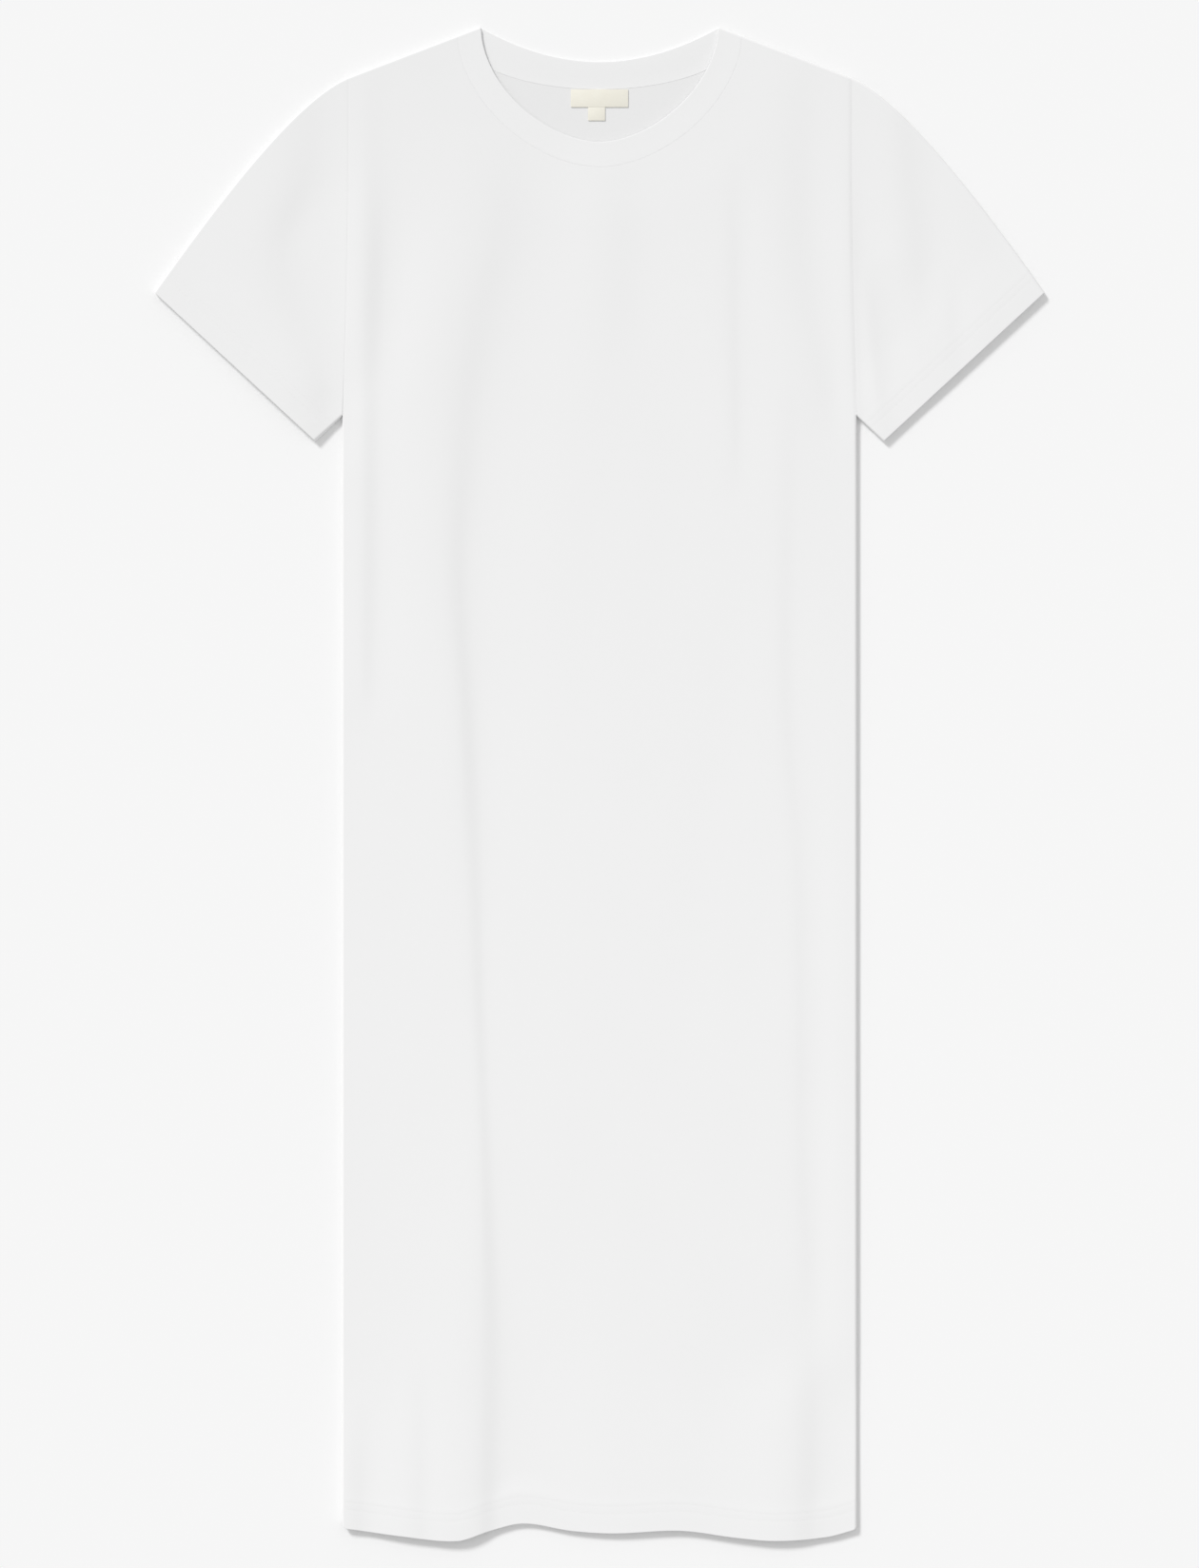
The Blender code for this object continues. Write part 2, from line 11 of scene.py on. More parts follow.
import bpy
import numpy as np
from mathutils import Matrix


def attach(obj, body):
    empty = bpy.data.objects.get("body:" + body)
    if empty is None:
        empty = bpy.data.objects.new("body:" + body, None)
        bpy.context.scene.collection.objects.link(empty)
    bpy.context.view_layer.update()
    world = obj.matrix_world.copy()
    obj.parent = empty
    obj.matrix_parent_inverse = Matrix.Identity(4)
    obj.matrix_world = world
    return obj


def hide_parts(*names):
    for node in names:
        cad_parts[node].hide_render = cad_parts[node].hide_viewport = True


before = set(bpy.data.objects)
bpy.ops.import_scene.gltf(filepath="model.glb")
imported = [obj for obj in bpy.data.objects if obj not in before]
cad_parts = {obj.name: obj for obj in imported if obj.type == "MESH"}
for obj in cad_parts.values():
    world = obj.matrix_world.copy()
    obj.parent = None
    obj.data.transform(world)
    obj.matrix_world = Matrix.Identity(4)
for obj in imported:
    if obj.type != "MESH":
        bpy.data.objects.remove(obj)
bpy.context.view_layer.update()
print("nodes in the frame:", sorted(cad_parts))

# %% [markdown]
# ## The camera
# A garment on a table is photographed from straight above. A long lens a few metres up keeps the cuffs and
# the hem free of perspective, so one length in the picture is the same length everywhere on the cloth.

# %% Camera above the dress
MM = 0.001
CAMERA_HEIGHT = 4.005
CLOTH_HEIGHT = 5 * MM
PICTURE_HEIGHT = 1.28544
SENSOR = 36.0

bpy.ops.object.camera_add(location=(0, 0, CAMERA_HEIGHT), rotation=(0, 0, 0))
camera = bpy.context.object
camera.name = "camera_above"
camera.data.sensor_width = SENSOR
camera.data.lens = SENSOR * (CAMERA_HEIGHT - CLOTH_HEIGHT) / PICTURE_HEIGHT
bpy.context.scene.camera = camera
print("lens:", round(camera.data.lens, 2), "mm")

# %% [markdown]
# ## The sizes
# Everything follows from a few sizes of the dress, in metres, with the middle of the dress at X = 0 and the
# neck towards +Y. The outline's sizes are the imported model's, so each piece lands on its own solid. Only the
# seams and the roll of the edges are finer here.

# %% Sizes of the cloth, the body, the neck, the sleeves and the labels
WALL = 1.2 * MM
HEM_WALL = 2.2 * MM
BAND_WALL, BAND_SEAM_WALL = 2.0 * MM, 1.35 * MM
SEAM_GAP = 0.04 * MM
EDGE_RADIUS = 3.0 * MM
TIGHT_ROLL, LOOSE_ROLL = 1.1 * MM, 2.2 * MM
LOFT = 5.2 * MM

NECK_POINT = np.array([98.0, 620.5]) * MM
SHOULDER_POINT = np.array([206.5, 579.0]) * MM
ARMPIT = np.array([211.0, 301.5]) * MM
ARMHOLE_BOW = 1.6 * MM
HEM_DEPTH = 24 * MM
HEM_STEP = 1.5 * MM
HEM_CORNER = 3.5 * MM
BACK_HEM_Y = -605 * MM

FRONT_NECK_DROP = 94 * MM
FRONT_NECK_ROUNDNESS = 1.75
BACK_NECK_DROP = 28 * MM
BAND_WIDTH = 20.5 * MM
BACK_BAND_WIDTH = 22.5 * MM
BAND_TURN = 0.3
BACK_SLIDE = 1.35

CUFF_OUTER = np.array([365.0, 403.0]) * MM
CUFF_INNER = np.array([233.0, 281.0]) * MM
OVERARM_PULLS = np.array([[250.0, 561.0], [320.0, 467.0]]) * MM
CUFF_DEPTH = 22 * MM
CUFF_CORNER = 2.0 * MM

MAIN_LABEL = (47 * MM, 14.6 * MM)
SIZE_LABEL = (14 * MM, 11 * MM)
SIZE_LABEL_X = -2.4 * MM

# %% [markdown]
# ## The hem's swing and the folds
# Cloth laid on a table keeps long soft folds. Each one here is a fall to the right: a ridge on its left, a
# trough on its right, and a face between them that is narrow where the fold is sharp. A short table of
# stations runs down each face, so a fold can bend, widen and die away, and it is easy to change by hand.

# %% Tables of the hem and of the folds, in millimetres
HemStation = namedtuple("HemStation", "x y")
HEM_STATIONS = [
    HemStation(-211, -610.0),
    HemStation(-164, -616.5),
    HemStation(-117, -620.5),
    HemStation(-90, -612.5),
    HemStation(-62, -606.5),
    HemStation(-23, -612.5),
    HemStation(12, -614.5),
    HemStation(66, -612.3),
    HemStation(112, -618.0),
    HemStation(144, -620.5),
    HemStation(186, -617.6),
    HemStation(211, -611.0),
]

FoldStation = namedtuple("FoldStation", "x y width fall")
Fold = namedtuple("Fold", "left right stations")


def laid_fold(left, right, rows):
    """A fold, from how far it reaches to its left and right and rows of x, y, width and fall."""
    return Fold(left, right, [FoldStation(*row) for row in rows])


LONG_FOLD_LEFT = laid_fold(60, 64, [
    (-74, 540, 50, 0.3),
    (-82, 447, 54, 4.05),
    (-96, 385, 56, 5.1),
    (-107, 330, 48, 5.4),
    (-111, 291, 42, 5.4),
    (-116, 174, 26, 4.8),
    (-109, 57, 18, 3.9),
    (-103, -60, 13, 2.25),
    (-99, -177, 9, 1.7),
    (-94, -294, 9, 1.7),
    (-90, -410, 16, 3.3),
    (-89, -489, 28, 5.1),
    (-91, -551, 32, 6.6),
    (-91, -640, 32, 6.6),
])
LONG_FOLD_RIGHT = laid_fold(45, 40, [
    (158, 354, 14, 0.0),
    (155, 290, 14, 0.6),
    (152, 174, 12, 0.9),
    (153, 57, 12, 1.2),
    (162, -60, 11, 0.9),
    (164, -177, 10, 0.8),
    (165, -294, 10, 0.75),
    (170, -400, 16, 1.2),
    (171, -470, 24, 0.6),
    (171, -515, 36, 5.1),
    (171, -551, 40, 6.3),
    (170, -590, 40, 5.7),
    (170, -640, 40, 3.6),
])
SIDE_SWELL_RIGHT = laid_fold(20, 24, [
    (186, 60, 26, 0.0),
    (187, -60, 28, -0.75),
    (188, -200, 30, -1.35),
    (188, -330, 30, -1.35),
    (188, -440, 28, -0.9),
    (188, -520, 26, 0.0),
])
ARMHOLE_FOLD_LEFT = laid_fold(18, 36, [
    (-186, 560, 24, 0.9),
    (-186, 500, 26, 2.1),
    (-185, 447, 27, 4.5),
    (-187, 385, 23, 4.5),
    (-188, 330, 16, 2.25),
    (-188, 290, 13, 2.1),
    (-189, 174, 14, 2.1),
    (-190, 90, 12, 1.2),
    (-190, 50, 10, 0.0),
])
ARMHOLE_FOLD_RIGHT = laid_fold(40, 24, [
    (164, 560, 30, 0.9),
    (163, 447, 47, 3.6),
    (170, 385, 48, 3.75),
    (183, 330, 22, 1.8),
    (188, 285, 16, 0.0),
])
ARMHOLE_STEP_RIGHT = laid_fold(14, 26, [
    (206, 570, 5, 0.3),
    (206, 500, 6, 0.6),
    (208, 440, 10, 1.35),
    (209, 370, 9, 1.2),
    (210, 330, 7, 1.05),
    (213, 290, 6, 0.75),
])
CHEST_FOLD = laid_fold(50, 45, [
    (14, 540, 40, 0.0),
    (16, 470, 44, 1.8),
    (18, 400, 44, 1.95),
    (20, 340, 40, 0.6),
    (20, 290, 40, 0.0),
])
CHEST_FOLD_RIGHT = laid_fold(40, 26, [
    (108, 520, 18, 0.0),
    (109, 447, 16, 1.35),
    (110, 360, 13, 1.2),
    (111, 290, 11, 1.05),
    (111, 230, 10, 0.0),
])
HEM_FOLD = laid_fold(20, 20, [
    (-150, -470, 12, 0.0),
    (-148, -540, 16, 1.5),
    (-148, -640, 16, 1.65),
])
HEM_CORNER_FOLD = laid_fold(14, 20, [
    (-197, -500, 24, 0.0),
    (-198, -540, 26, 1.5),
    (-199, -580, 26, 2.55),
    (-200, -640, 26, 2.4),
])
SLEEVE_FOLD_LEFT = laid_fold(50, 38, [
    (-240, 560, 36, 1.8),
    (-243, 500, 46, 3.75),
    (-261, 447, 36, 3.3),
    (-258, 410, 42, 3.6),
    (-246, 370, 56, 5.1),
    (-230, 330, 44, 5.85),
    (-228, 300, 36, 3.6),
])
SLEEVE_FOLD_RIGHT = laid_fold(26, 30, [
    (250, 560, 36, 2.25),
    (254, 500, 34, 2.85),
    (260, 447, 34, 3.0),
    (262, 410, 28, 2.1),
    (266, 360, 24, 0.45),
])
CUFF_FOLD_RIGHT = laid_fold(22, 16, [
    (286, 425, 18, 0.0),
    (288, 385, 22, 1.8),
    (290, 345, 18, 0.3),
])
UNDERARM_FOLD_RIGHT = laid_fold(10, 30, [
    (220, 430, 20, 0.0),
    (224, 385, 28, 3.0),
    (230, 330, 22, 2.4),
    (236, 296, 16, 0.45),
])
FOLDS = [
    LONG_FOLD_LEFT,
    LONG_FOLD_RIGHT,
    SIDE_SWELL_RIGHT,
    ARMHOLE_FOLD_LEFT,
    ARMHOLE_FOLD_RIGHT,
    ARMHOLE_STEP_RIGHT,
    CHEST_FOLD,
    CHEST_FOLD_RIGHT,
    HEM_FOLD,
    HEM_CORNER_FOLD,
    SLEEVE_FOLD_LEFT,
    SLEEVE_FOLD_RIGHT,
    CUFF_FOLD_RIGHT,
    UNDERARM_FOLD_RIGHT,
]
FOLD_FADE = 30
HEM_LIFT, HEM_LIFT_REACH = 0.9 * MM, 110 * MM
CUFF_LIFT, CUFF_LIFT_REACH = 0.5 * MM, 40 * MM
HIGHEST_RISE, DEEPEST_FALL = 2.4 * MM, 2.4 * MM
DEEPEST_FALL_AT_HEM, THICK_REACH = 1.4 * MM, 12 * MM
NECK_SETTLE, NECK_SETTLE_REACH = 1.1 * MM, 70 * MM
print("folds:", len(FOLDS), "with", sum(len(fold.stations) for fold in FOLDS), "stations")

# %% [markdown]
# ## Curves through a table
# A straight run between stations would crease the cloth, so values are read off a smooth curve through
# them. All helpers take whole arrays of points, because a panel has tens of thousands of them.

# %% Small helpers for smooth shapes
def ease(t):
    t = np.clip(t, 0.0, 1.0)
    return t * t * (3 - 2 * t)


def between(a, b, t):
    return a + (b - a) * t


def distance_between(a, b):
    return float(np.linalg.norm(np.asarray(b) - np.asarray(a)))


def smooth_through(rows, along, column, at):
    """A column's values at places along a table, on a smooth curve through its rows."""
    places = np.array([getattr(row, along) for row in rows], float)
    values = np.array([getattr(row, column) for row in rows], float)
    if places[-1] < places[0]:
        places, at = -places, -at
    at = np.clip(at, places[0], places[-1])
    i = np.clip(np.searchsorted(places, at, side="right") - 1, 0, len(rows) - 2)
    before, after = np.maximum(i - 1, 0), np.minimum(i + 2, len(rows) - 1)
    span = places[i + 1] - places[i]
    t = (at - places[i]) / span
    slope_a = (values[i + 1] - values[before]) / (places[i + 1] - places[before]) * span
    slope_b = (values[after] - values[i]) / (places[after] - places[i]) * span
    value = (2 * t**3 - 3 * t**2 + 1) * values[i] + (t**3 - 2 * t**2 + t) * slope_a
    return value + (3 * t**2 - 2 * t**3) * values[i + 1] + (t**3 - t**2) * slope_b


def hem_y(x):
    """The front hem's edge at x, with a small round corner at each side."""
    y = smooth_through(HEM_STATIONS, "x", "y", x / MM) * MM
    corner = np.clip(np.abs(x) - ARMPIT[0] + HEM_CORNER, 0, HEM_CORNER)
    return y + HEM_CORNER - np.sqrt(HEM_CORNER**2 - corner**2)


print("front hem at the middle: y =", round(float(hem_y(np.array(0.0))), 4))

# %% [markdown]
# ## The outline
# Front and back roll into each other at the closed edges: down the sides, over the shoulders, and along the
# upper and lower edge of each sleeve. Their distance from a point tells how far the cloth has rolled there.

# %% Edges of the body and of the sleeves
OVERARM_STEPS = 36
ON_EDGE = 0.06 * MM
CLEARLY_NEARER = ON_EDGE / 4
FAR_AWAY = 1.0
FAR_BELOW_HEM = 2 * BACK_HEM_Y
SHOULDER_LINE = (SHOULDER_POINT - NECK_POINT) / distance_between(NECK_POINT, SHOULDER_POINT)
SHOULDER_OUT = np.array([-SHOULDER_LINE[1], SHOULDER_LINE[0]])
BAND_END = NECK_POINT + SHOULDER_LINE * BAND_WIDTH
BAND_START = NECK_POINT - SHOULDER_OUT * EDGE_RADIUS
BACK_START = BAND_START - np.array([BACK_SLIDE * EDGE_RADIUS, 0])
CUFF_LINE = (CUFF_INNER - CUFF_OUTER) / distance_between(CUFF_OUTER, CUFF_INNER)
UP_SLEEVE = np.array([CUFF_LINE[1], -CUFF_LINE[0]])
UP_SLEEVE *= np.sign((SHOULDER_POINT - CUFF_OUTER) @ UP_SLEEVE)


def half_width(y):
    """Half the body's width: its side up to the armpit, and the armhole seam above it."""
    t = np.clip((y - ARMPIT[1]) / (SHOULDER_POINT[1] - ARMPIT[1]), 0, 1)
    return between(ARMPIT[0], SHOULDER_POINT[0], t) - ARMHOLE_BOW * np.sin(math.pi * t)


def overarm(t):
    """The sleeve's upper edge, a curve from the shoulder point to the cuff."""
    t = np.asarray(t, float)[..., None]
    s = 1 - t
    pulled = 3 * s * s * t * OVERARM_PULLS[0] + 3 * s * t * t * OVERARM_PULLS[1]
    return s**3 * SHOULDER_POINT + pulled + t**3 * CUFF_OUTER


def mirrored(points, side):
    return points * np.array([side, 1.0])


def closed_edge():
    """The right half's closed edges as rows of (start, end, direction out)."""
    rows = []
    side = [np.array([ARMPIT[0], FAR_BELOW_HEM]), ARMPIT, CUFF_INNER]
    over = list(overarm(1 - np.arange(OVERARM_STEPS + 1) / OVERARM_STEPS)) + [NECK_POINT]
    for line in (side, over):
        for start, end in zip(line, line[1:]):
            along = (end - start) / distance_between(start, end)
            rows.append((start, end, np.array([along[1], -along[0]])))
    return rows


CLOSED_EDGE = closed_edge()


def edge_at(points):
    """(distance to the nearest closed edge, the direction out over it) for each point."""
    side = np.where(points[:, 0] < 0, -1.0, 1.0)
    here = np.stack([points[:, 0] * side, points[:, 1]], 1)
    best = np.full(len(here), FAR_AWAY)
    out = np.tile([1.0, 0.0], (len(here), 1))
    for start, end, normal in CLOSED_EDGE:
        span = end - start
        t = np.clip((here - start) @ span / (span @ span), 0, 1)
        away = start + t[:, None] * span - here
        length = np.linalg.norm(away, axis=1)
        nearer = (length < best - CLEARLY_NEARER)[:, None]
        turn = np.where((length < ON_EDGE)[:, None], normal, away / np.maximum(length, 1e-9)[:, None])
        out = np.where(nearer, turn, out)
        best = np.where(nearer[:, 0], length, best)
    out[:, 0] *= side
    return best, out


def cuff_distance(points):
    """How far up the sleeve from the cuff's edge each point lies."""
    here = np.stack([np.abs(points[:, 0]), points[:, 1]], 1)
    return np.abs((here - CUFF_OUTER) @ UP_SLEEVE)


print("closed edges:", len(CLOSED_EDGE), "runs a side")

# %% [markdown]
# ## The neck
# The band is a strip of the same jersey, folded double. Its free edge over the front is a flattened half
# ellipse and its seam edge lies one band width outside it. At the back it is much shallower.

# %% Free edge and seam edge of the neckband
def unit(vectors):
    return vectors / np.linalg.norm(vectors, axis=-1, keepdims=True)


def front_neck(t, beyond=0.0):
    """Free edge and seam edge over the front, t from 0 at the shoulder to 1 at the middle."""
    t = np.asarray(t, float)
    depth = FRONT_NECK_DROP - NECK_POINT[1] + BAND_START[1]
    power = 2 / FRONT_NECK_ROUNDNESS
    across, down = np.cos(math.pi / 2 * t).clip(0), np.sin(math.pi / 2 * t)
    free = BAND_START - np.stack([BAND_START[0] * (1 - across**power), depth * down**power], -1)
    square = unit(np.stack([across ** (2 - power) / BAND_START[0], -(down ** (2 - power)) / depth], -1))
    turn = ease(t / BAND_TURN)[..., None]
    direction = unit(between(SHOULDER_LINE, square, turn))
    return free, free + direction * (BAND_WIDTH + beyond)


def back_neck(t, beyond=0.0):
    """The same at the back."""
    t = np.asarray(t, float)
    depth = BACK_NECK_DROP - NECK_POINT[1] + BACK_START[1]
    free = BACK_START - np.stack([BACK_START[0] * t, depth * (1 - (1 - t) ** 2)], -1)
    corner = BAND_START + SHOULDER_LINE * BAND_WIDTH
    drop = depth + BACK_BAND_WIDTH
    rise = (BAND_START[1] - corner[1]) / drop
    half = corner[0] / math.sqrt(1 - rise**2)
    angle = between(math.asin(rise), math.pi / 2, t)
    seam = np.stack([(half + beyond) * np.cos(angle), BAND_START[1] - (drop + beyond) * np.sin(angle)], -1)
    return free, seam


NECK_SAMPLES = 40
NECK_EDGE, NECK_SEAM = front_neck(np.linspace(0, 1, NECK_SAMPLES), SEAM_GAP / 2)
print("front neckline's lowest point: y =", round(float(front_neck(1.0)[0][1]), 4))

# %% [markdown]
# ## The height of the cloth
# The front lies a few millimetres over the table. Added to that level are the folds, a slight unevenness,
# the lift of the thick hems, the fall towards the open neck, and the dips at the seams. Its allowances pull
# a seam a little lower than the cloth beside it, and that thin dip is what the eye reads as a seam. It is
# deeper at the right armhole, where the sleeve lies pulled away from the body.

# %% Height of the front layer
ARMHOLE_DIP_LEFT, ARMHOLE_DIP_RIGHT = 0.05 * MM, 0.17 * MM
ARMHOLE_DIP_REACH = 2.4 * MM
NECK_DIP, NECK_DIP_REACH = 0.03 * MM, 1.6 * MM
HEM_RISE, CUFF_RISE, HEM_RISE_REACH = 0.16 * MM, 0.08 * MM, 6 * MM
STITCH_DIP, STITCH_DIP_REACH = 0.04 * MM, 1.1 * MM
NEEDLE_ROWS = (16.5 * MM, 22.5 * MM)
CUFF_NEEDLE_ROWS = (15.0 * MM, 20.5 * MM)


def dying_away(height, distance, reach):
    """A height that eases off to nothing over a distance."""
    return height * (1 - ease(distance / reach))


def fold_rise(fold, x, y):
    """What one fold adds to the height at x, y, all in millimetres."""
    middle, width, fall = (smooth_through(fold.stations, "y", name, y) for name in ("x", "width", "fall"))
    past = np.maximum(0, np.maximum(y - fold.stations[0].y, fold.stations[-1].y - y))
    off = x - middle
    reach = np.where(off < 0, fold.left, fold.right)
    strength = np.exp(-((past / FOLD_FADE) ** 2) - (off / reach) ** 2)
    return -fall / 2 * strength * np.tanh(2 * off / width)


def unevenness(x, y):
    """The slight swell of cloth that was smoothed by hand, in millimetres."""
    wide = np.sin(x / 31 + 0.7) * np.sin(y / 83 - x / 190 + 1.9)
    small = np.sin(x / 13 + y / 47) * np.sin(y / 29 - x / 37 + 0.4)
    return 0.13 * wide + 0.05 * small


def distance_to_line(points, line):
    best = np.full(len(points), FAR_AWAY)
    for start, end in zip(line, line[1:]):
        span = end - start
        t = np.clip((points - start) @ span / (span @ span), 0, 1)
        best = np.minimum(best, np.linalg.norm(start + t[:, None] * span - points, axis=1))
    return best


def seam_dips(points):
    """How much lower the cloth lies at the armhole seams and the neck seam."""
    here = np.stack([np.abs(points[:, 0]), points[:, 1]], 1)
    below = np.maximum(0, ARMPIT[1] - here[:, 1])
    to_armhole = np.hypot(here[:, 0] - half_width(here[:, 1]), below)
    to_neck = distance_to_line(here, NECK_SEAM)
    depth = np.where(points[:, 0] < 0, ARMHOLE_DIP_LEFT, ARMHOLE_DIP_RIGHT)
    armhole = dying_away(depth, to_armhole, ARMHOLE_DIP_REACH)
    return armhole + dying_away(NECK_DIP, to_neck, NECK_DIP_REACH)


def needle_dips(distance, needle_rows):
    """How deep the two rows of stitches pull a hem in, at a distance from its edge."""
    return sum(dying_away(STITCH_DIP, np.abs(distance - row), STITCH_DIP_REACH) for row in needle_rows)


def kept_within(rise, highest, deepest):
    """Folds rounded off softly, so the cloth neither towers up nor sinks into the layer below."""
    return np.where(rise > 0, highest * np.tanh(rise / highest), deepest * np.tanh(rise / deepest))


def front_level(points):
    """Height of the front layer's outer face, away from the rolled edges."""
    x, y = points[:, 0] / MM, points[:, 1] / MM
    rise = (sum(fold_rise(fold, x, y) for fold in FOLDS) + unevenness(x, y)) * MM
    past_hem = points[:, 1] - hem_y(points[:, 0]) - HEM_DEPTH
    on_body = np.abs(points[:, 0]) < half_width(points[:, 1])
    past_cuff = np.where(on_body, FAR_AWAY, cuff_distance(points)) - CUFF_DEPTH
    thin = ease((np.minimum(past_hem, past_cuff) - 2 * HEM_STEP) / THICK_REACH)
    level = LOFT + kept_within(rise, HIGHEST_RISE, between(DEEPEST_FALL_AT_HEM, DEEPEST_FALL, thin))
    level += dying_away(HEM_LIFT, past_hem, HEM_LIFT_REACH) + dying_away(HEM_RISE, past_hem, HEM_RISE_REACH)
    level += dying_away(CUFF_LIFT, past_cuff, CUFF_LIFT_REACH)
    level += dying_away(CUFF_RISE, past_cuff, HEM_RISE_REACH)
    level -= needle_dips(past_hem + HEM_DEPTH, NEEDLE_ROWS)
    level -= needle_dips(past_cuff + CUFF_DEPTH, CUFF_NEEDLE_ROWS)
    here = np.stack([np.abs(points[:, 0]), points[:, 1]], 1)
    settled = dying_away(NECK_SETTLE, distance_to_line(here, NECK_EDGE), NECK_SETTLE_REACH)
    return level - settled - seam_dips(points)


probe = np.array([[0.0, 0.0], [-0.135, 0.25], [-0.09, 0.25]])
print("front layer's height at three places:", np.round(front_level(probe) / MM, 2), "mm")

# %% [markdown]
# ## Laying a sheet
# Each piece of cloth starts as a flat grid. Its points are moved to where the plan and the height put them,
# and a Solidify modifier gives it a second layer and a rim, whose points are placed the same way. This
# keeps the wall's thickness right where the cloth rolls over an edge, which a plain offset doesn't. The
# cloth rolls over tightly on the left and more loosely on the right. A free edge, where a hem or the band
# is folded, is blunt and rounded off.

# %% Points of a wall of cloth
FOLD_BLUNT, FOLD_ROUND = 0.4, 0.25 * MM


def wall_points(plan, wall, layer, gap=0.0, from_free_edge=None, raised=0.0):
    """Outer and inner points over a plan of points. Layer is 1 for the front and -1 for the back."""
    shape = plan.shape[:-1]
    points = plan.reshape(-1, 2)
    wall = np.broadcast_to(wall, shape).reshape(-1)
    layer = np.broadcast_to(layer, shape).reshape(-1)
    distance, out = edge_at(points)
    roll = between(TIGHT_ROLL, LOOSE_ROLL, ease(out[:, 0]))
    angle = np.arccos(1 - np.minimum(distance, roll) / roll)
    level = np.where(layer > 0, front_level(points) + raised, 0.0)
    start = EDGE_RADIUS + layer * gap / 2
    risen = np.sin(angle)
    outer = np.column_stack([points, between(start, level, risen)])
    inner = np.column_stack([points - out * (wall * np.cos(angle))[:, None], start])
    inner[:, 2] = between(start, level - layer * wall, risen)
    if from_free_edge is not None:
        near = np.minimum(np.broadcast_to(from_free_edge, shape).reshape(-1) / FOLD_ROUND, 1)
        full = np.maximum(np.sqrt(1 - (1 - near) ** 2), FOLD_BLUNT)[:, None]
        middle = (outer + inner) / 2
        outer, inner = between(middle, outer, full), between(middle, inner, full)
    return outer.reshape(*shape, 3), inner.reshape(*shape, 3)


# %% A grid laid as a sheet of cloth
def deselect_all():
    bpy.ops.object.select_all(action="DESELECT")


def in_edit_mode(piece, *steps):
    """Selects all of a piece's mesh, runs each step on it and comes back."""
    deselect_all()
    piece.select_set(True)
    bpy.context.view_layer.objects.active = piece
    bpy.ops.object.mode_set(mode="EDIT")
    bpy.ops.mesh.select_all(action="SELECT")
    for step in steps:
        step()
    bpy.ops.object.mode_set(mode="OBJECT")


def signed_volume(mesh):
    mesh.calc_loop_triangles()
    points = np.zeros(len(mesh.vertices) * 3)
    mesh.vertices.foreach_get("co", points)
    corners = np.zeros(len(mesh.loop_triangles) * 3, np.int32)
    mesh.loop_triangles.foreach_get("vertices", corners)
    a, b, c = points.reshape(-1, 3)[corners.reshape(-1, 3)].transpose(1, 0, 2)
    return float(np.einsum("ij,ij->i", a, np.cross(b, c)).sum() / 6)


def face_out(piece):
    in_edit_mode(piece, lambda: bpy.ops.mesh.normals_make_consistent(inside=False))
    if signed_volume(piece.data) < 0:
        in_edit_mode(piece, bpy.ops.mesh.flip_normals)


def smooth(piece, degrees=50):
    deselect_all()
    piece.select_set(True)
    bpy.context.view_layer.objects.active = piece
    bpy.ops.object.shade_smooth_by_angle(angle=math.radians(degrees))


def lay_sheet(name, outer, inner, cloth_uv, tube=False):
    """A sheet from rows of outer and inner points. On a tube the last column lies on the first."""
    rows, columns = outer.shape[0] - 1, outer.shape[1] - 1
    deselect_all()
    bpy.ops.mesh.primitive_grid_add(x_subdivisions=columns, y_subdivisions=rows, size=1)
    piece = bpy.context.object
    piece.name = piece.data.name = name
    mesh = piece.data
    corner_of = np.zeros(len(mesh.loops), np.int32)
    mesh.loops.foreach_get("vertex_index", corner_of)
    mesh.uv_layers[0].name = "cloth"
    mesh.uv_layers[0].uv.foreach_set("vector", cloth_uv.reshape(-1, 2)[corner_of].astype(np.float32).ravel())
    mesh.vertices.foreach_set("co", outer.astype(np.float32).ravel())
    inner_of = dict(zip(map(tuple, outer.astype(np.float32).reshape(-1, 3).tolist()), inner.reshape(-1, 3)))
    if tube:
        in_edit_mode(piece, lambda: bpy.ops.mesh.remove_doubles(threshold=0.01 * MM))
    bpy.context.view_layer.objects.active = piece
    bpy.ops.object.modifier_add(type="SOLIDIFY")
    piece.modifiers[-1].thickness = WALL
    bpy.ops.object.modifier_apply(modifier=piece.modifiers[-1].name)
    points = np.zeros(3 * len(mesh.vertices), np.float32)
    mesh.vertices.foreach_get("co", points)
    points = points.reshape(-1, 3)
    outer_count = len(points) // 2
    points[outer_count:] = [inner_of[tuple(point)] for point in points[:outer_count].tolist()]
    mesh.vertices.foreach_set("co", points.ravel())
    face_out(piece)
    smooth(piece)
    print(name, "has", len(mesh.polygons), "faces")
    return piece


# %% [markdown]
# ## The front and back panels
# Both panels run from the hem up to the shoulder seams and the neck seam. Columns of points run down from
# the top line, closer together near the rolled edges and the seams, and rows gather at the hem, where the
# edge is folded and stitched. The front hem swings with the folds that reach it.

# %% Plan of a body panel
ROLL_STEPS = 6
FOLDED_EDGE_ROWS = [0, 0.05, 0.15, 0.35, 1.0]
HEM_FACE_ROWS = [4, 8, 12]
HEM_STEP_ROWS = [-0.6, 0.6, 1.8, 3.0, 4.2]
FAN_START = 0.55


def roll_insets():
    """How far in from a closed edge the lines of the roll lie, from the edge inwards."""
    return EDGE_RADIUS * (1 - np.cos(math.pi / 2 * np.arange(ROLL_STEPS + 1) / ROLL_STEPS))


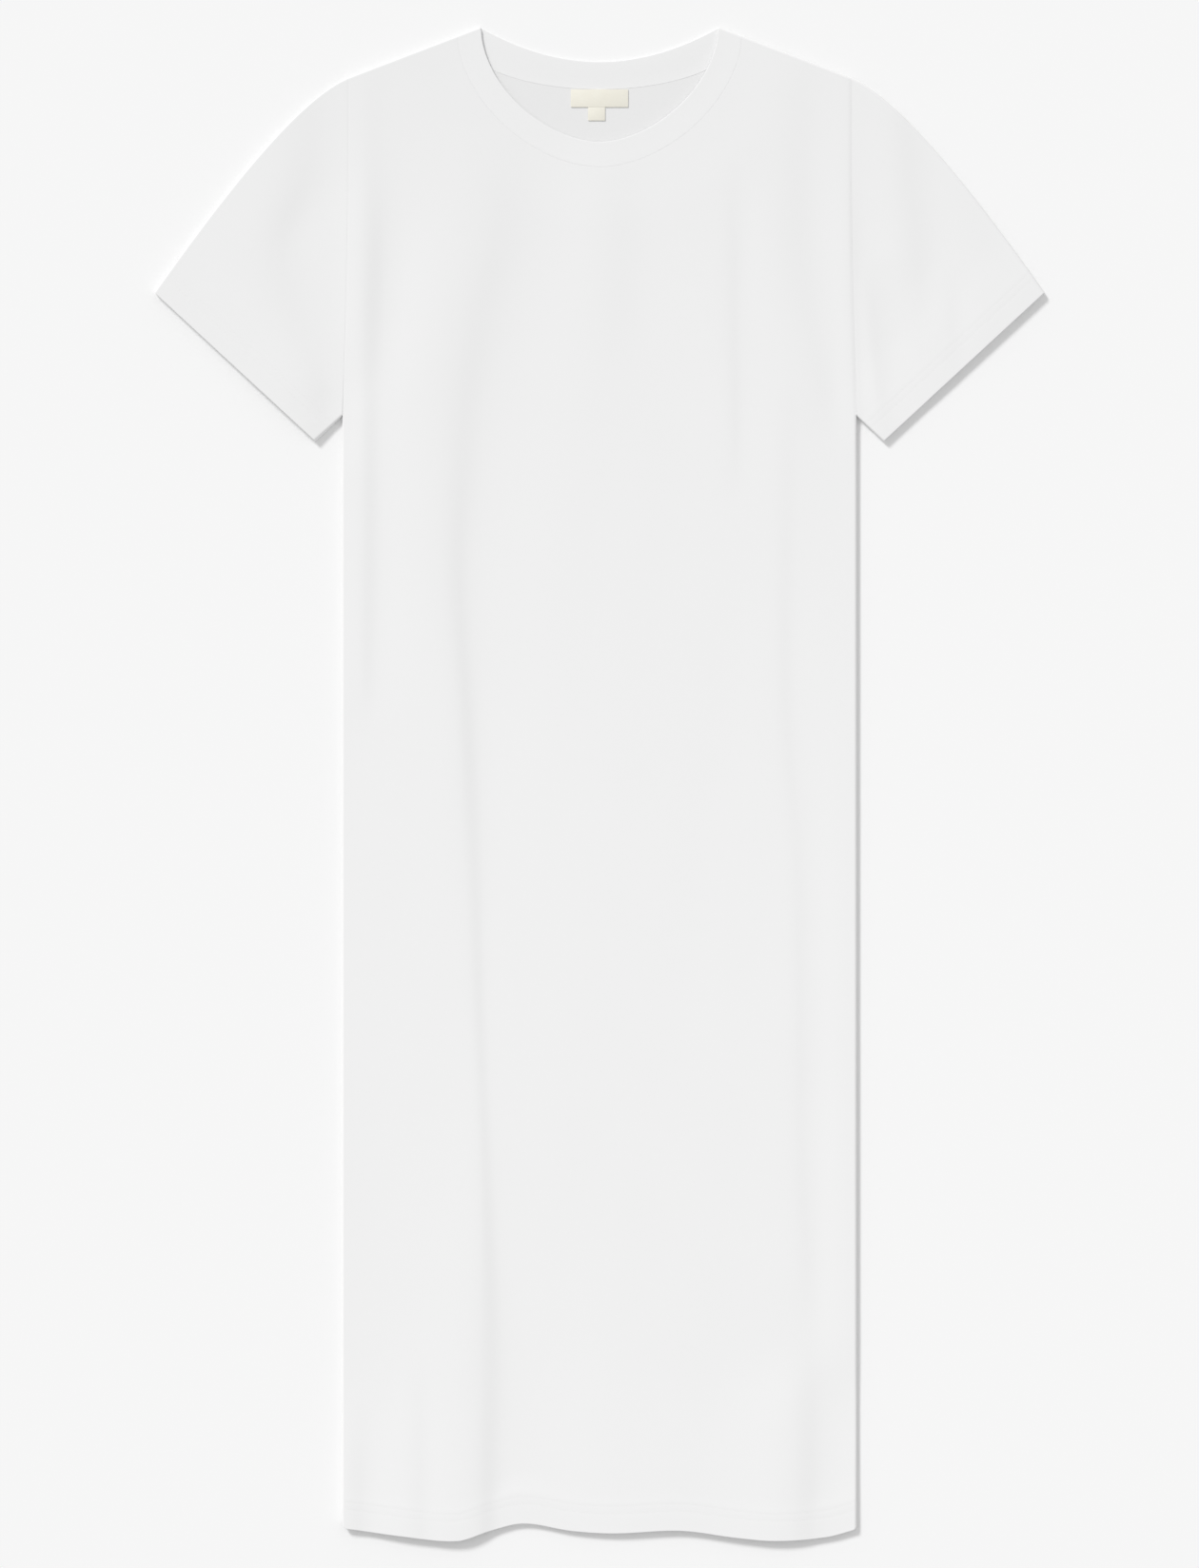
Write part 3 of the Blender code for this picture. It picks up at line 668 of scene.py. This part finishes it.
def hem_rows(needle_rows, depth):
    """Distances from a hem's edge up to just past its depth, close together at the folds and stitches."""
    rows = [d * MM for d in FOLDED_EDGE_ROWS + HEM_FACE_ROWS]
    for row in needle_rows:
        rows += [row + k * STITCH_DIP_REACH / 2 for k in (-2, -1, 0, 1, 2)]
    rows += [depth + d * MM for d in HEM_STEP_ROWS]
    return np.array(sorted(set(round(row, 6) for row in rows)))


def top_line(front, neck_steps, shoulder_steps):
    """The panel's top edge on the right, from the armhole to the middle of the neck."""
    corner = BAND_END + SHOULDER_LINE * SEAM_GAP
    armhole_end = SHOULDER_POINT - SHOULDER_LINE * EDGE_RADIUS
    rolled = roll_insets()[:, None]
    along = np.linspace(0, 1, shoulder_steps + 1)[1:, None]
    neck = (front_neck if front else back_neck)(np.linspace(0, 1, neck_steps + 1), SEAM_GAP)[1]
    return np.vstack([
        SHOULDER_POINT - SHOULDER_LINE * rolled,
        between(armhole_end, corner, along),
        corner - SHOULDER_OUT * rolled[1:-1],
        neck,
    ])


def panel_plan(front, neck_steps, shoulder_steps, lower_rows, upper_rows):
    """(points, distance from the hem's edge) over a panel, row by row from the hem."""
    right = top_line(front, neck_steps, shoulder_steps)
    tops = np.vstack([mirrored(right, -1), right[-2::-1]])
    steps = len(right) - 1
    rolled = roll_insets()
    hem_ladder = hem_rows(NEEDLE_ROWS, HEM_DEPTH)
    low, high = hem_ladder[-1], EDGE_RADIUS
    hem_side = float(hem_y(np.array(ARMPIT[0] - HEM_CORNER))) if front else BACK_HEM_Y
    run = SHOULDER_POINT[1] - high - hem_side - low
    armpit = (ARMPIT[1] - hem_side - low) / run
    shares = list(armpit * np.arange(1, lower_rows + 1) / lower_rows)
    shares += list(armpit + rolled[2:] / run)
    shares += list(between(shares[-1], 1, np.arange(1, upper_rows + 1) / upper_rows))
    rows = [(0, d - low) for d in hem_ladder]
    rows += [(share, 0) for share in shares]
    rows += [(1, high - inset) for inset in rolled[-2::-1]]
    share, nudge = np.array(rows).T[:, :, None]

    column = np.arange(len(tops))
    side = np.where(column <= steps, -1, 1)
    step = np.where(column <= steps, column, 2 * steps - column)
    at_side = step < len(rolled)
    even = 1 - (step - ROLL_STEPS) / (steps - ROLL_STEPS)
    inset = rolled[np.minimum(step, ROLL_STEPS)]
    x_low = side * np.where(at_side, ARMPIT[0] - inset, (ARMPIT[0] - EDGE_RADIUS) * even)
    hem = hem_y(x_low) if front else np.full(len(tops), BACK_HEM_Y)
    y = between(hem + low, tops[:, 1] - high, share) + nudge
    x_side = side * (half_width(y) - inset)
    x_top = tops[:, 0] + side * (half_width(y) - half_width(tops[:, 1]))
    x_side = np.where(share == 1, x_top, x_side)
    reach = (half_width(y) - EDGE_RADIUS) / (ARMPIT[0] - EDGE_RADIUS)
    top_reach = (half_width(tops[:, 1]) - EDGE_RADIUS) / (ARMPIT[0] - EDGE_RADIUS)
    spread = ease((share - FAN_START) / (1 - FAN_START))
    x = np.where(at_side, x_side, between(x_low, tops[:, 0] / top_reach, spread) * reach)
    return np.stack([x, y], -1), y - hem


def sew_panel(name, front, **steps):
    plan, to_hem = panel_plan(front, **steps)
    wall = between(HEM_WALL, WALL, ease((to_hem - HEM_DEPTH) / HEM_STEP))
    outer, inner = wall_points(plan, wall, 1 if front else -1, SEAM_GAP, to_hem)
    return lay_sheet(name, outer, inner, plan)


# %% Front and back
front = sew_panel("front_jersey", True, neck_steps=40, shoulder_steps=26, lower_rows=110, upper_rows=60)
back = sew_panel("back_jersey", False, neck_steps=30, shoulder_steps=10, lower_rows=24, upper_rows=30)

# %% [markdown]
# ## The sleeves
# A sleeve is one piece of cloth, joined under the arm into a tube and laid flat. Rings of points run round
# the tube, from the armhole seam to the cuff. The last ones lie parallel to the cuff, as its hem does.

# %% Plan of a sleeve
SLEEVE_EDGE_SAMPLES = 200


def place_up_sleeve(line, distance):
    """The points of a line that lie at given distances from the cuff's edge."""
    far = cuff_distance(line)
    order = np.argsort(far)
    return np.stack([np.interp(distance, far[order], line[order, k]) for k in (0, 1)], -1)


def sleeve_plan(rings, across_front, across_back):
    """(points, distance from the cuff's edge, layer) round the tube, row by row from the armhole."""
    along_edge = np.linspace(0, 1, SLEEVE_EDGE_SAMPLES)
    upper, lower = overarm(along_edge), between(ARMPIT, CUFF_INNER, along_edge[:, None])
    cuff_ladder = hem_rows(CUFF_NEEDLE_ROWS, CUFF_DEPTH)[::-1]
    start = cuff_ladder[0]
    body = 1 - np.linspace(0, 1, rings + 1)[:-1]
    upper_far = np.concatenate([between(start, cuff_distance(upper[:1])[0], body), cuff_ladder])
    lower_far = np.concatenate([between(start, cuff_distance(lower[:1])[0], body), cuff_ladder])
    top, bottom = place_up_sleeve(upper, upper_far), place_up_sleeve(lower, lower_far)
    top[0] = overarm(SEAM_GAP / (3 * distance_between(OVERARM_PULLS[0], SHOULDER_POINT)))
    bottom[0] = ARMPIT + (CUFF_INNER - ARMPIT) * SEAM_GAP / (CUFF_INNER - ARMPIT)[0]
    length = np.linalg.norm(bottom - top, axis=1)[:, None]

    rolled = roll_insets()
    middle = np.linspace(0, 1, across_front + 1)
    over = [(inset, 0, 0) for inset in rolled[:-1]]
    over += [(EDGE_RADIUS, share, -2 * EDGE_RADIUS * share) for share in middle]
    over += [(-inset, 1, 0) for inset in rolled[-2::-1]]
    under_middle = np.linspace(1, 0, across_back + 1)
    under = [(-inset, 1, 0) for inset in rolled[1:-1]]
    under += [(EDGE_RADIUS, share, -2 * EDGE_RADIUS * share) for share in under_middle]
    under += [(inset, 0, 0) for inset in rolled[-2::-1]]
    inset, share, both = np.array(over + under).T
    layer = np.array([1] * len(over) + [-1] * len(under))
    run_in = inset + length * share + both
    ends = np.where(np.minimum(upper_far, lower_far) < ON_EDGE, CUFF_CORNER, 0)[:, None]
    run_in = np.clip(run_in, ends, length - ends)
    points = top[:, None] + (bottom - top)[:, None] * (run_in / length)[..., None]
    near_armhole = np.concatenate([body, np.zeros(len(cuff_ladder))])[:, None] ** 2
    points[..., 0] -= ARMHOLE_BOW * np.sin(math.pi * run_in / length) * near_armhole
    return points, cuff_distance(points.reshape(-1, 2)).reshape(points.shape[:2]), layer


def sew_sleeve(name, side):
    plan, to_cuff, layer = sleeve_plan(rings=44, across_front=60, across_back=20)
    plan = mirrored(plan, side)
    wall = between(HEM_WALL, WALL, ease((to_cuff - CUFF_DEPTH) / HEM_STEP))
    outer, inner = wall_points(plan, wall, layer, 0.0, to_cuff)
    across = plan @ mirrored(CUFF_LINE, side)
    return lay_sheet(name, outer, inner, np.stack([across, to_cuff], -1), tube=True)


# %% Left and right sleeve
sleeve_left = sew_sleeve("sleeve_left_jersey", -1)
sleeve_right = sew_sleeve("sleeve_right_jersey", 1)

# %% [markdown]
# ## The neckband
# The band closes round the neck: over the front, round each shoulder, and under the back. Its free edge is
# the fold of the doubled strip, so it is round, and it stands a touch prouder than the panels.

# %% Neckband
BAND_RAISE = 0.05 * MM
BAND_ROWS = FOLDED_EDGE_ROWS + [3.5, 6, 9, 12, 15, 17.5, 19, 19.8]
NECK_STEPS_FRONT, NECK_STEPS_BACK = 60, 44


def band_sections():
    """Free edge, seam edge and layer of each section round the neck, front first and closed."""
    rolled = roll_insets()[:-1, None]
    turn_free, turn_seam = NECK_POINT - SHOULDER_OUT * rolled, BAND_END - SHOULDER_OUT * rolled
    slide = np.column_stack([BACK_SLIDE * rolled, np.zeros(ROLL_STEPS)])
    over = front_neck(np.linspace(0, 1, NECK_STEPS_FRONT + 1))
    under = back_neck(np.linspace(0, 1, NECK_STEPS_BACK + 1))
    over_free, over_seam = np.vstack([turn_free, over[0]]), np.vstack([turn_seam, over[1]])
    under_free = np.vstack([(turn_free - slide)[1:], under[0]])
    under_seam = np.vstack([turn_seam[1:], under[1]])
    free = [over_free, mirrored(over_free, -1)[-2::-1], mirrored(under_free, -1), under_free[-2::-1]]
    seam = [over_seam, mirrored(over_seam, -1)[-2::-1], mirrored(under_seam, -1), under_seam[-2::-1]]
    layer = [1] * (2 * len(over_free) - 1) + [-1] * (2 * len(under_free) - 1)
    return np.vstack(free), np.vstack(seam), np.array(layer)


def sew_neckband():
    free, seam, layer = band_sections()
    free, seam = np.vstack([free, free[:1]]), np.vstack([seam, seam[:1]])
    layer = np.append(layer, layer[0])
    share = np.append(np.array(BAND_ROWS) * MM / BAND_WIDTH, 1.0)[:, None, None]
    plan = between(free, seam, share)
    width = np.linalg.norm(seam - free, axis=1)
    wall = np.broadcast_to(between(BAND_WALL, BAND_SEAM_WALL, ease(share[..., 0])), plan.shape[:-1])
    outer, inner = wall_points(plan, wall, layer, 0.0, share[..., 0] * width, BAND_RAISE)
    around = np.concatenate([[0], np.cumsum(np.linalg.norm(np.diff((free + seam) / 2, axis=0), axis=1))])
    cloth_uv = np.stack(np.broadcast_arrays(around, share[..., 0] * width), -1)
    return lay_sheet("neckband_jersey", outer, inner, cloth_uv, tube=True)


neckband = sew_neckband()

# %% [markdown]
# ## The labels
# Two woven labels lie inside the back, tucked under the edge of the band: a wide one, and a small tab
# below it. On this part they are bare. Each is a thin block with softened edges, laid on the cloth.

# %% Woven labels, bare
LABEL_WALL = 0.8 * MM
LABEL_EDGE = 0.22 * MM
LABEL_UNDERSIDE = WALL + 0.1 * MM


def sew_label(name, size, top, middle_x):
    deselect_all()
    place = (middle_x, top - size[1] / 2, LABEL_UNDERSIDE + LABEL_WALL / 2)
    bpy.ops.mesh.primitive_cube_add(size=1, location=place, scale=(*size, LABEL_WALL))
    piece = bpy.context.object
    piece.name = piece.data.name = name
    bpy.ops.object.transform_apply(location=True, rotation=False, scale=True)
    in_edit_mode(piece, lambda: bpy.ops.mesh.bevel(offset=LABEL_EDGE, segments=3, affect="EDGES"))
    smooth(piece)
    print(name, "spans", [round(side / MM, 1) for side in size], "mm")
    return piece


label_top = float(back_neck(1.0)[1][1]) - 2 * SEAM_GAP
main_label = sew_label("main_label_tape", MAIN_LABEL, label_top, 0.0)
size_label = sew_label("size_label_tape", SIZE_LABEL, label_top - MAIN_LABEL[1] - SEAM_GAP, SIZE_LABEL_X)

# %% [markdown]
# ## The stitches
# Hem and cuffs are held by a twin needle: two rows of short stitches, side by side. One stitch is a small
# pill of thread. An Array modifier repeats it at the needle's pitch, and each copy is then turned and moved
# to its own place on the line, so the row follows the swing of the hem and the lie of the cloth.

# %% One stitch, and rows of it
STITCH_PITCH, STITCH_LENGTH = 3.0 * MM, 2.2 * MM
THREAD_WIDE, THREAD_HIGH = 0.3 * MM, 0.21 * MM
THREAD_SMOOTH_UP_TO = 80


def one_stitch():
    """A pill of thread that lies along Z: a small sphere, scaled to the stitch's size."""
    deselect_all()
    bpy.ops.mesh.primitive_uv_sphere_add(segments=6, ring_count=4, radius=1 / 2)
    pill = bpy.context.object
    size = (THREAD_WIDE, THREAD_HIGH, STITCH_LENGTH)
    in_edit_mode(pill, lambda: bpy.ops.transform.resize(value=size, center_override=(0, 0, 0)))
    return pill


def along_line(line):
    """Middle and direction of each stitch along a line of points."""
    ends = np.linalg.norm(np.diff(line, axis=0), axis=1)
    travelled = np.concatenate([[0], np.cumsum(ends)])
    at = np.arange(STITCH_PITCH, travelled[-1] - STITCH_PITCH / 2, STITCH_PITCH)
    middle, ahead, behind = (
        np.stack([np.interp(at + step, travelled, line[:, k]) for k in range(3)], -1)
        for step in (0, STITCH_LENGTH / 2, -STITCH_LENGTH / 2)
    )
    return middle, unit(ahead - behind)


def row_of_stitches(line):
    """One row: the stitch, an array of it, and the array laid along the line."""
    middle, along = along_line(line)
    row = one_stitch()
    corners = len(row.data.vertices)
    bpy.ops.object.modifier_add(type="ARRAY")
    array = row.modifiers[-1]
    array.count = len(middle)
    array.use_relative_offset = False
    array.use_constant_offset = True
    array.constant_offset_displace = (0, 0, STITCH_PITCH)
    bpy.ops.object.modifier_apply(modifier=array.name)
    points = np.zeros(3 * corners * len(middle), np.float32)
    row.data.vertices.foreach_get("co", points)
    points = points.reshape(len(middle), corners, 3)
    points[..., 2] -= STITCH_PITCH * np.arange(len(middle))[:, None]
    across = unit(np.cross([0, 0, 1.0], along))
    up = np.cross(along, across)
    laid = middle[:, None] + np.einsum("scd,sde->sce", points, np.stack([across, up, along], 1))
    row.data.vertices.foreach_set("co", laid.astype(np.float32).ravel())
    return row, len(middle)


def stitch(name, lines):
    """Rows of stitches along lines, joined as one piece."""
    rows = [row_of_stitches(line) for line in lines]
    deselect_all()
    for row, count in rows:
        row.select_set(True)
    piece = rows[0][0]
    bpy.context.view_layer.objects.active = piece
    bpy.ops.object.join()
    piece.name = piece.data.name = name
    face_out(piece)
    smooth(piece, THREAD_SMOOTH_UP_TO)
    print(name, "has", sum(count for row, count in rows), "stitches")
    return piece


# %% Twin rows round the hem and the cuffs
ROW_END = 1.5 * MM
HEM_SAMPLES, CUFF_SAMPLES = 160, 80


def on_front(plan):
    """A line of plan points raised to the face of the front layer."""
    return wall_points(plan[None], WALL, 1)[0][0]


def on_back(plan):
    """The same line on the underside."""
    return wall_points(plan[None], WALL, -1)[0][0] + np.array([0, 0, THREAD_HIGH / 3])


across_hem = np.linspace(-ARMPIT[0] + ROW_END, ARMPIT[0] - ROW_END, HEM_SAMPLES)
back_hem = np.full(HEM_SAMPLES, BACK_HEM_Y)
front_rows = [on_front(np.stack([across_hem, hem_y(across_hem) + row], -1)) for row in NEEDLE_ROWS]
back_rows = [on_back(np.stack([across_hem, back_hem + row], -1)) for row in NEEDLE_ROWS]
hem_thread = stitch("hem_thread_front", front_rows)
back_hem_thread = stitch("hem_thread_back", back_rows)


def cuff_lines(side):
    lines = []
    length = distance_between(CUFF_OUTER, CUFF_INNER)
    inset = np.linspace(ROW_END, length - ROW_END, CUFF_SAMPLES)[:, None]
    for row in CUFF_NEEDLE_ROWS:
        plan = mirrored(CUFF_OUTER + CUFF_LINE * inset + UP_SLEEVE * row, side)
        lines += [on_front(plan), on_back(plan)]
    return lines


cuff_thread_left = stitch("cuff_thread_left", cuff_lines(-1))
cuff_thread_right = stitch("cuff_thread_right", cuff_lines(1))

# %% [markdown]
# ## The finishes
# Plain jersey is a knit. Up close it is columns of small V shapes, about eight to the centimetre, and from
# a step back it is matt and a little uneven in tone. The knit is drawn by nodes on each piece's own cloth
# map, so its columns run down the body, along the sleeves and round the band. It lifts the surface by bump,
# because a stitch of knit is far smaller than any face of the mesh, and its low places are painted a little
# darker as painted shade. The white is painted darker towards the neck, as painted shade. The back, whose
# inside shows the wrong side of the knit, is a darker copy of the jersey: painted shade for the inside of
# the neck. The doubled band has a white of its own.

# %% Node helpers
class Nodes:
    """Adds nodes to a material and links them."""

    def __init__(self, name):
        self.material = bpy.data.materials.new(name)
        self.material.use_nodes = True
        self.tree = self.material.node_tree
        self.shader = self.tree.nodes["Principled BSDF"]

    def add(self, kind, **settings):
        node = self.tree.nodes.new(kind)
        for key, value in settings.items():
            setattr(node, key, value)
        return node

    def put(self, value, socket):
        if isinstance(value, bpy.types.NodeSocket):
            self.tree.links.new(value, socket)
        else:
            socket.default_value = value

    def math(self, operation, *values):
        node = self.add("ShaderNodeMath", operation=operation)
        for value, socket in zip(values, node.inputs):
            self.put(value, socket)
        return node.outputs[0]

    def mix(self, share, low, high):
        node = self.add("ShaderNodeMix", data_type="RGBA")
        self.put(share, node.inputs["Factor"])
        self.put((*low, 1.0), node.inputs["A"])
        self.put((*high, 1.0), node.inputs["B"])
        return node.outputs["Result"]

    def noise(self, vector, scale, detail=2.0):
        node = self.add("ShaderNodeTexNoise")
        self.put(vector, node.inputs["Vector"])
        node.inputs["Scale"].default_value = scale
        node.inputs["Detail"].default_value = detail
        return node.outputs["Fac"]

    def bump(self, height, strength, distance):
        node = self.add("ShaderNodeBump")
        self.put(height, node.inputs["Height"])
        node.inputs["Strength"].default_value = strength
        node.inputs["Distance"].default_value = distance
        self.put(node.outputs["Normal"], self.shader.inputs["Normal"])


def across_and_along(nodes):
    """The two directions of a piece's cloth map, in metres, and its object place."""
    cloth = nodes.add("ShaderNodeUVMap", uv_map="cloth")
    split = nodes.add("ShaderNodeSeparateXYZ")
    nodes.put(cloth.outputs["UV"], split.inputs[0])
    place = nodes.add("ShaderNodeTexCoord").outputs["Object"]
    return split.outputs["X"], split.outputs["Y"], place


# %% Jersey
def grey(value):
    return (value, value, value)


WALE, COURSE = 0.95 * MM, 0.75 * MM
COURSE_SLANT, LEG_HEIGHT, FUZZ_HEIGHT = 1.3, 0.35, 0.8
FUZZ_SCALE, CLOUD_SCALE = 900.0, 14.0
KNIT_BUMP, KNIT_DEPTH = 0.16, 0.12 * MM
# From NECK_Y down to SKIRT_Y the white is painted lighter: painted shade over the top of the body, most at the
# neck.
NECK_Y, SKIRT_Y = 560 * MM, -250 * MM
PAINTED_SHADE_SHARE, CLOUD_SHARE, KNIT_HOLLOW_SHADE_SHARE = 0.7, 0.2, 0.08
# Each pair of tones runs from light to dark; the dark end is mostly painted shade, reached towards the neck.
BODY_TONES = grey(0.8545), grey(0.8175)
# The back's tones are a darker copy of the jersey's: painted shade for the inside of the neck.
BACK_PAINTED_SHADE_TONES = grey(0.815), grey(0.785)
BAND_TONES = grey(0.848), grey(0.828)


def jersey(name, light, dark):
    nodes = Nodes(name)
    across, along, place = across_and_along(nodes)
    wale = nodes.math("DIVIDE", across, WALE)
    in_wale = nodes.math("ABSOLUTE", nodes.math("SUBTRACT", nodes.math("FRACT", wale), 0.5))
    slant = nodes.math("MULTIPLY", in_wale, COURSE_SLANT)
    course = nodes.math("ADD", nodes.math("DIVIDE", along, COURSE), slant)
    leg = nodes.math("SINE", nodes.math("MULTIPLY", course, 2 * math.pi))
    ridge = nodes.math("SINE", nodes.math("MULTIPLY", in_wale, 2 * math.pi))
    knit = nodes.math("ADD", nodes.math("MULTIPLY", leg, LEG_HEIGHT), ridge)
    fuzz = nodes.noise(place, FUZZ_SCALE, 3.0)
    height = nodes.math("ADD", knit, nodes.math("MULTIPLY", fuzz, FUZZ_HEIGHT))
    nodes.bump(height, KNIT_BUMP, KNIT_DEPTH)
    # Painted shade: the white is mixed towards its dark tone higher up the body, most at the neck.
    split = nodes.add("ShaderNodeSeparateXYZ")
    nodes.put(place, split.inputs[0])
    down = nodes.add("ShaderNodeMapRange")
    nodes.put(split.outputs["Y"], down.inputs["Value"])
    down.inputs["From Min"].default_value = NECK_Y
    down.inputs["From Max"].default_value = SKIRT_Y
    painted_shade_ramp = nodes.math("MULTIPLY", down.outputs[0], nodes.math("SUBTRACT", 2.0, down.outputs[0]))
    cloudy = nodes.math("MULTIPLY", nodes.noise(place, CLOUD_SCALE), CLOUD_SHARE)
    # The knit's low places are painted a little darker: painted shade in its hollows.
    tone = nodes.math("ADD", cloudy, nodes.math("MULTIPLY", knit, KNIT_HOLLOW_SHADE_SHARE))
    tone = nodes.math("ADD", tone, nodes.math("MULTIPLY", painted_shade_ramp, PAINTED_SHADE_SHARE))
    nodes.put(nodes.mix(tone, dark, light), nodes.shader.inputs["Base Color"])
    nodes.shader.inputs["Roughness"].default_value = 0.93
    nodes.shader.inputs["Specular IOR Level"].default_value = 0.2
    nodes.shader.inputs["Sheen Weight"].default_value = 0.08
    nodes.shader.inputs["Sheen Roughness"].default_value = 0.6
    return nodes.material


body_jersey = jersey("body_jersey", *BODY_TONES)
# The back gets a darker copy of the jersey: painted shade for the inside of the neck.
back_painted_shade_jersey = jersey("back_painted_shade_jersey", *BACK_PAINTED_SHADE_TONES)
band_jersey = jersey("band_jersey", *BAND_TONES)
CLOTH_OF = [
    (front, body_jersey),
    (sleeve_left, body_jersey),
    (sleeve_right, body_jersey),
    (back, back_painted_shade_jersey),
    (neckband, band_jersey),
]
for piece, cloth in CLOTH_OF:
    piece.data.materials.append(cloth)
print("jersey on", len(CLOTH_OF), "pieces")


# %% Label tape and sewing thread
WARP, WEFT = 0.5 * MM, 0.4 * MM
TAPE_SHADE, TAPE_CREAM = (0.81, 0.784, 0.69), (0.845, 0.823, 0.735)
THREAD_SHADE, THREAD_WHITE = (0.83, 0.83, 0.82), (0.87, 0.87, 0.86)


def label_tape(name):
    """Satin tape: fine ribs across it, and a soft sheen."""
    nodes = Nodes(name)
    place = nodes.add("ShaderNodeTexCoord").outputs["Object"]
    split = nodes.add("ShaderNodeSeparateXYZ")
    nodes.put(place, split.inputs[0])
    warp = nodes.math("SINE", nodes.math("MULTIPLY", split.outputs["X"], 2 * math.pi / WARP))
    weft = nodes.math("SINE", nodes.math("MULTIPLY", split.outputs["Y"], 2 * math.pi / WEFT))
    weave = nodes.math("ADD", nodes.math("MULTIPLY", warp, 0.4), weft)
    nodes.bump(weave, 0.25, 0.06 * MM)
    tone = nodes.math("ADD", nodes.math("MULTIPLY", weft, 0.15), nodes.noise(place, 160.0))
    nodes.put(nodes.mix(tone, TAPE_SHADE, TAPE_CREAM), nodes.shader.inputs["Base Color"])
    nodes.shader.inputs["Roughness"].default_value = 0.7
    nodes.shader.inputs["Sheen Weight"].default_value = 0.15
    return nodes.material


def thread(name):
    """Spun thread: fine twisted ridges."""
    nodes = Nodes(name)
    place = nodes.add("ShaderNodeTexCoord").outputs["Object"]
    twist = nodes.noise(place, 2500.0, 1.0)
    nodes.bump(twist, 0.3, 0.05 * MM)
    nodes.put(nodes.mix(twist, THREAD_SHADE, THREAD_WHITE), nodes.shader.inputs["Base Color"])
    nodes.shader.inputs["Roughness"].default_value = 0.8
    return nodes.material


woven_tape = label_tape("woven_label_tape")
white_thread = thread("white_thread")
labels = [main_label, size_label]
for piece in labels:
    piece.data.materials.append(woven_tape)
threads = [hem_thread, back_hem_thread, cuff_thread_left, cuff_thread_right]
for piece in threads:
    piece.data.materials.append(white_thread)
print("tape on", len(labels), "labels, thread on", len(threads), "runs of stitches")

# %% [markdown]
# ## Floor and light
# White on white needs care: most of the light is soft and even, and one slanting light from the upper left
# draws the folds and throws the thin shadow along the right side and the hem.

# %% Pale floor
FLOOR_SIZE = 120.0
FLOOR_DROP = 0.1 * MM
FLOOR_TONE = grey(0.899)
deselect_all()
bpy.ops.mesh.primitive_plane_add(size=FLOOR_SIZE, location=(0, 0, -FLOOR_DROP))
floor = bpy.context.object
floor.name = "floor"
floor_nodes = Nodes("pale_floor")
floor_nodes.shader.inputs["Base Color"].default_value = (*FLOOR_TONE, 1)
floor_nodes.shader.inputs["Roughness"].default_value = 1.0
floor_nodes.shader.inputs["Specular IOR Level"].default_value = 0.0
floor.data.materials.append(floor_nodes.material)
print("floor:", FLOOR_SIZE, "m wide")

# %% Slanting light and soft fill
SUN_ELEVATION = math.radians(37)
SUN_FROM = (-0.614, 0.789)
SUN_SIZE = math.radians(14)
SUN_STRENGTH = 1.93
SUN_PLACE = (-1.5, 2.0, 1.5)
FILL_STRENGTH = 0.658

deselect_all()
bpy.ops.object.light_add(type="SUN", location=SUN_PLACE)
sun = bpy.context.object
sun.name = "slanting_light"
sun.data.energy = SUN_STRENGTH
sun.data.angle = SUN_SIZE
sun.rotation_euler = (
    math.pi / 2 - SUN_ELEVATION,
    0,
    math.atan2(SUN_FROM[1], SUN_FROM[0]) + math.pi / 2,
)
world = bpy.data.worlds.new("soft_fill")
bpy.context.scene.world = world
world.use_nodes = True
world.node_tree.nodes["Background"].inputs["Color"].default_value = (1, 1, 1, 1)
world.node_tree.nodes["Background"].inputs["Strength"].default_value = FILL_STRENGTH
bpy.context.scene.view_settings.view_transform = "Standard"
on_floor = SUN_STRENGTH * math.sin(SUN_ELEVATION) / math.pi
print("slanting light's share of the floor's light:", round(on_floor / (on_floor + FILL_STRENGTH), 2))

# %% [markdown]
# ## The pieces on the body
# Each piece rides on the one body of the part and stands for its node, whose imported solid is hidden. How
# large the cloth of each was cut is printed; the sizes are those of what shows, all round on a sleeve and on
# the neckband.

# %% What each piece is
PIECES = [
    (front, "front", "white_jersey"),
    (back, "back", "white_jersey"),
    (sleeve_left, "sleeve_left", "white_jersey"),
    (sleeve_right, "sleeve_right", "white_jersey"),
    (neckband, "neckband", "neckband_jersey"),
    (main_label, "main_label", "label_tape"),
    (size_label, "size_label", "label_tape"),
]
for piece, node, slot in PIECES:
    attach(piece, "root")
    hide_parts(node)
for piece in threads:
    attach(piece, "root")


def cloth_area(piece):
    """Half of a closed wall's surface, which is the area of the cloth that it is cut from."""
    return sum(face.area for face in piece.data.polygons) / 2


for piece in (front, back, sleeve_left, sleeve_right, neckband):
    print(piece.name, "cloth area", round(cloth_area(piece), 4), "square metres")
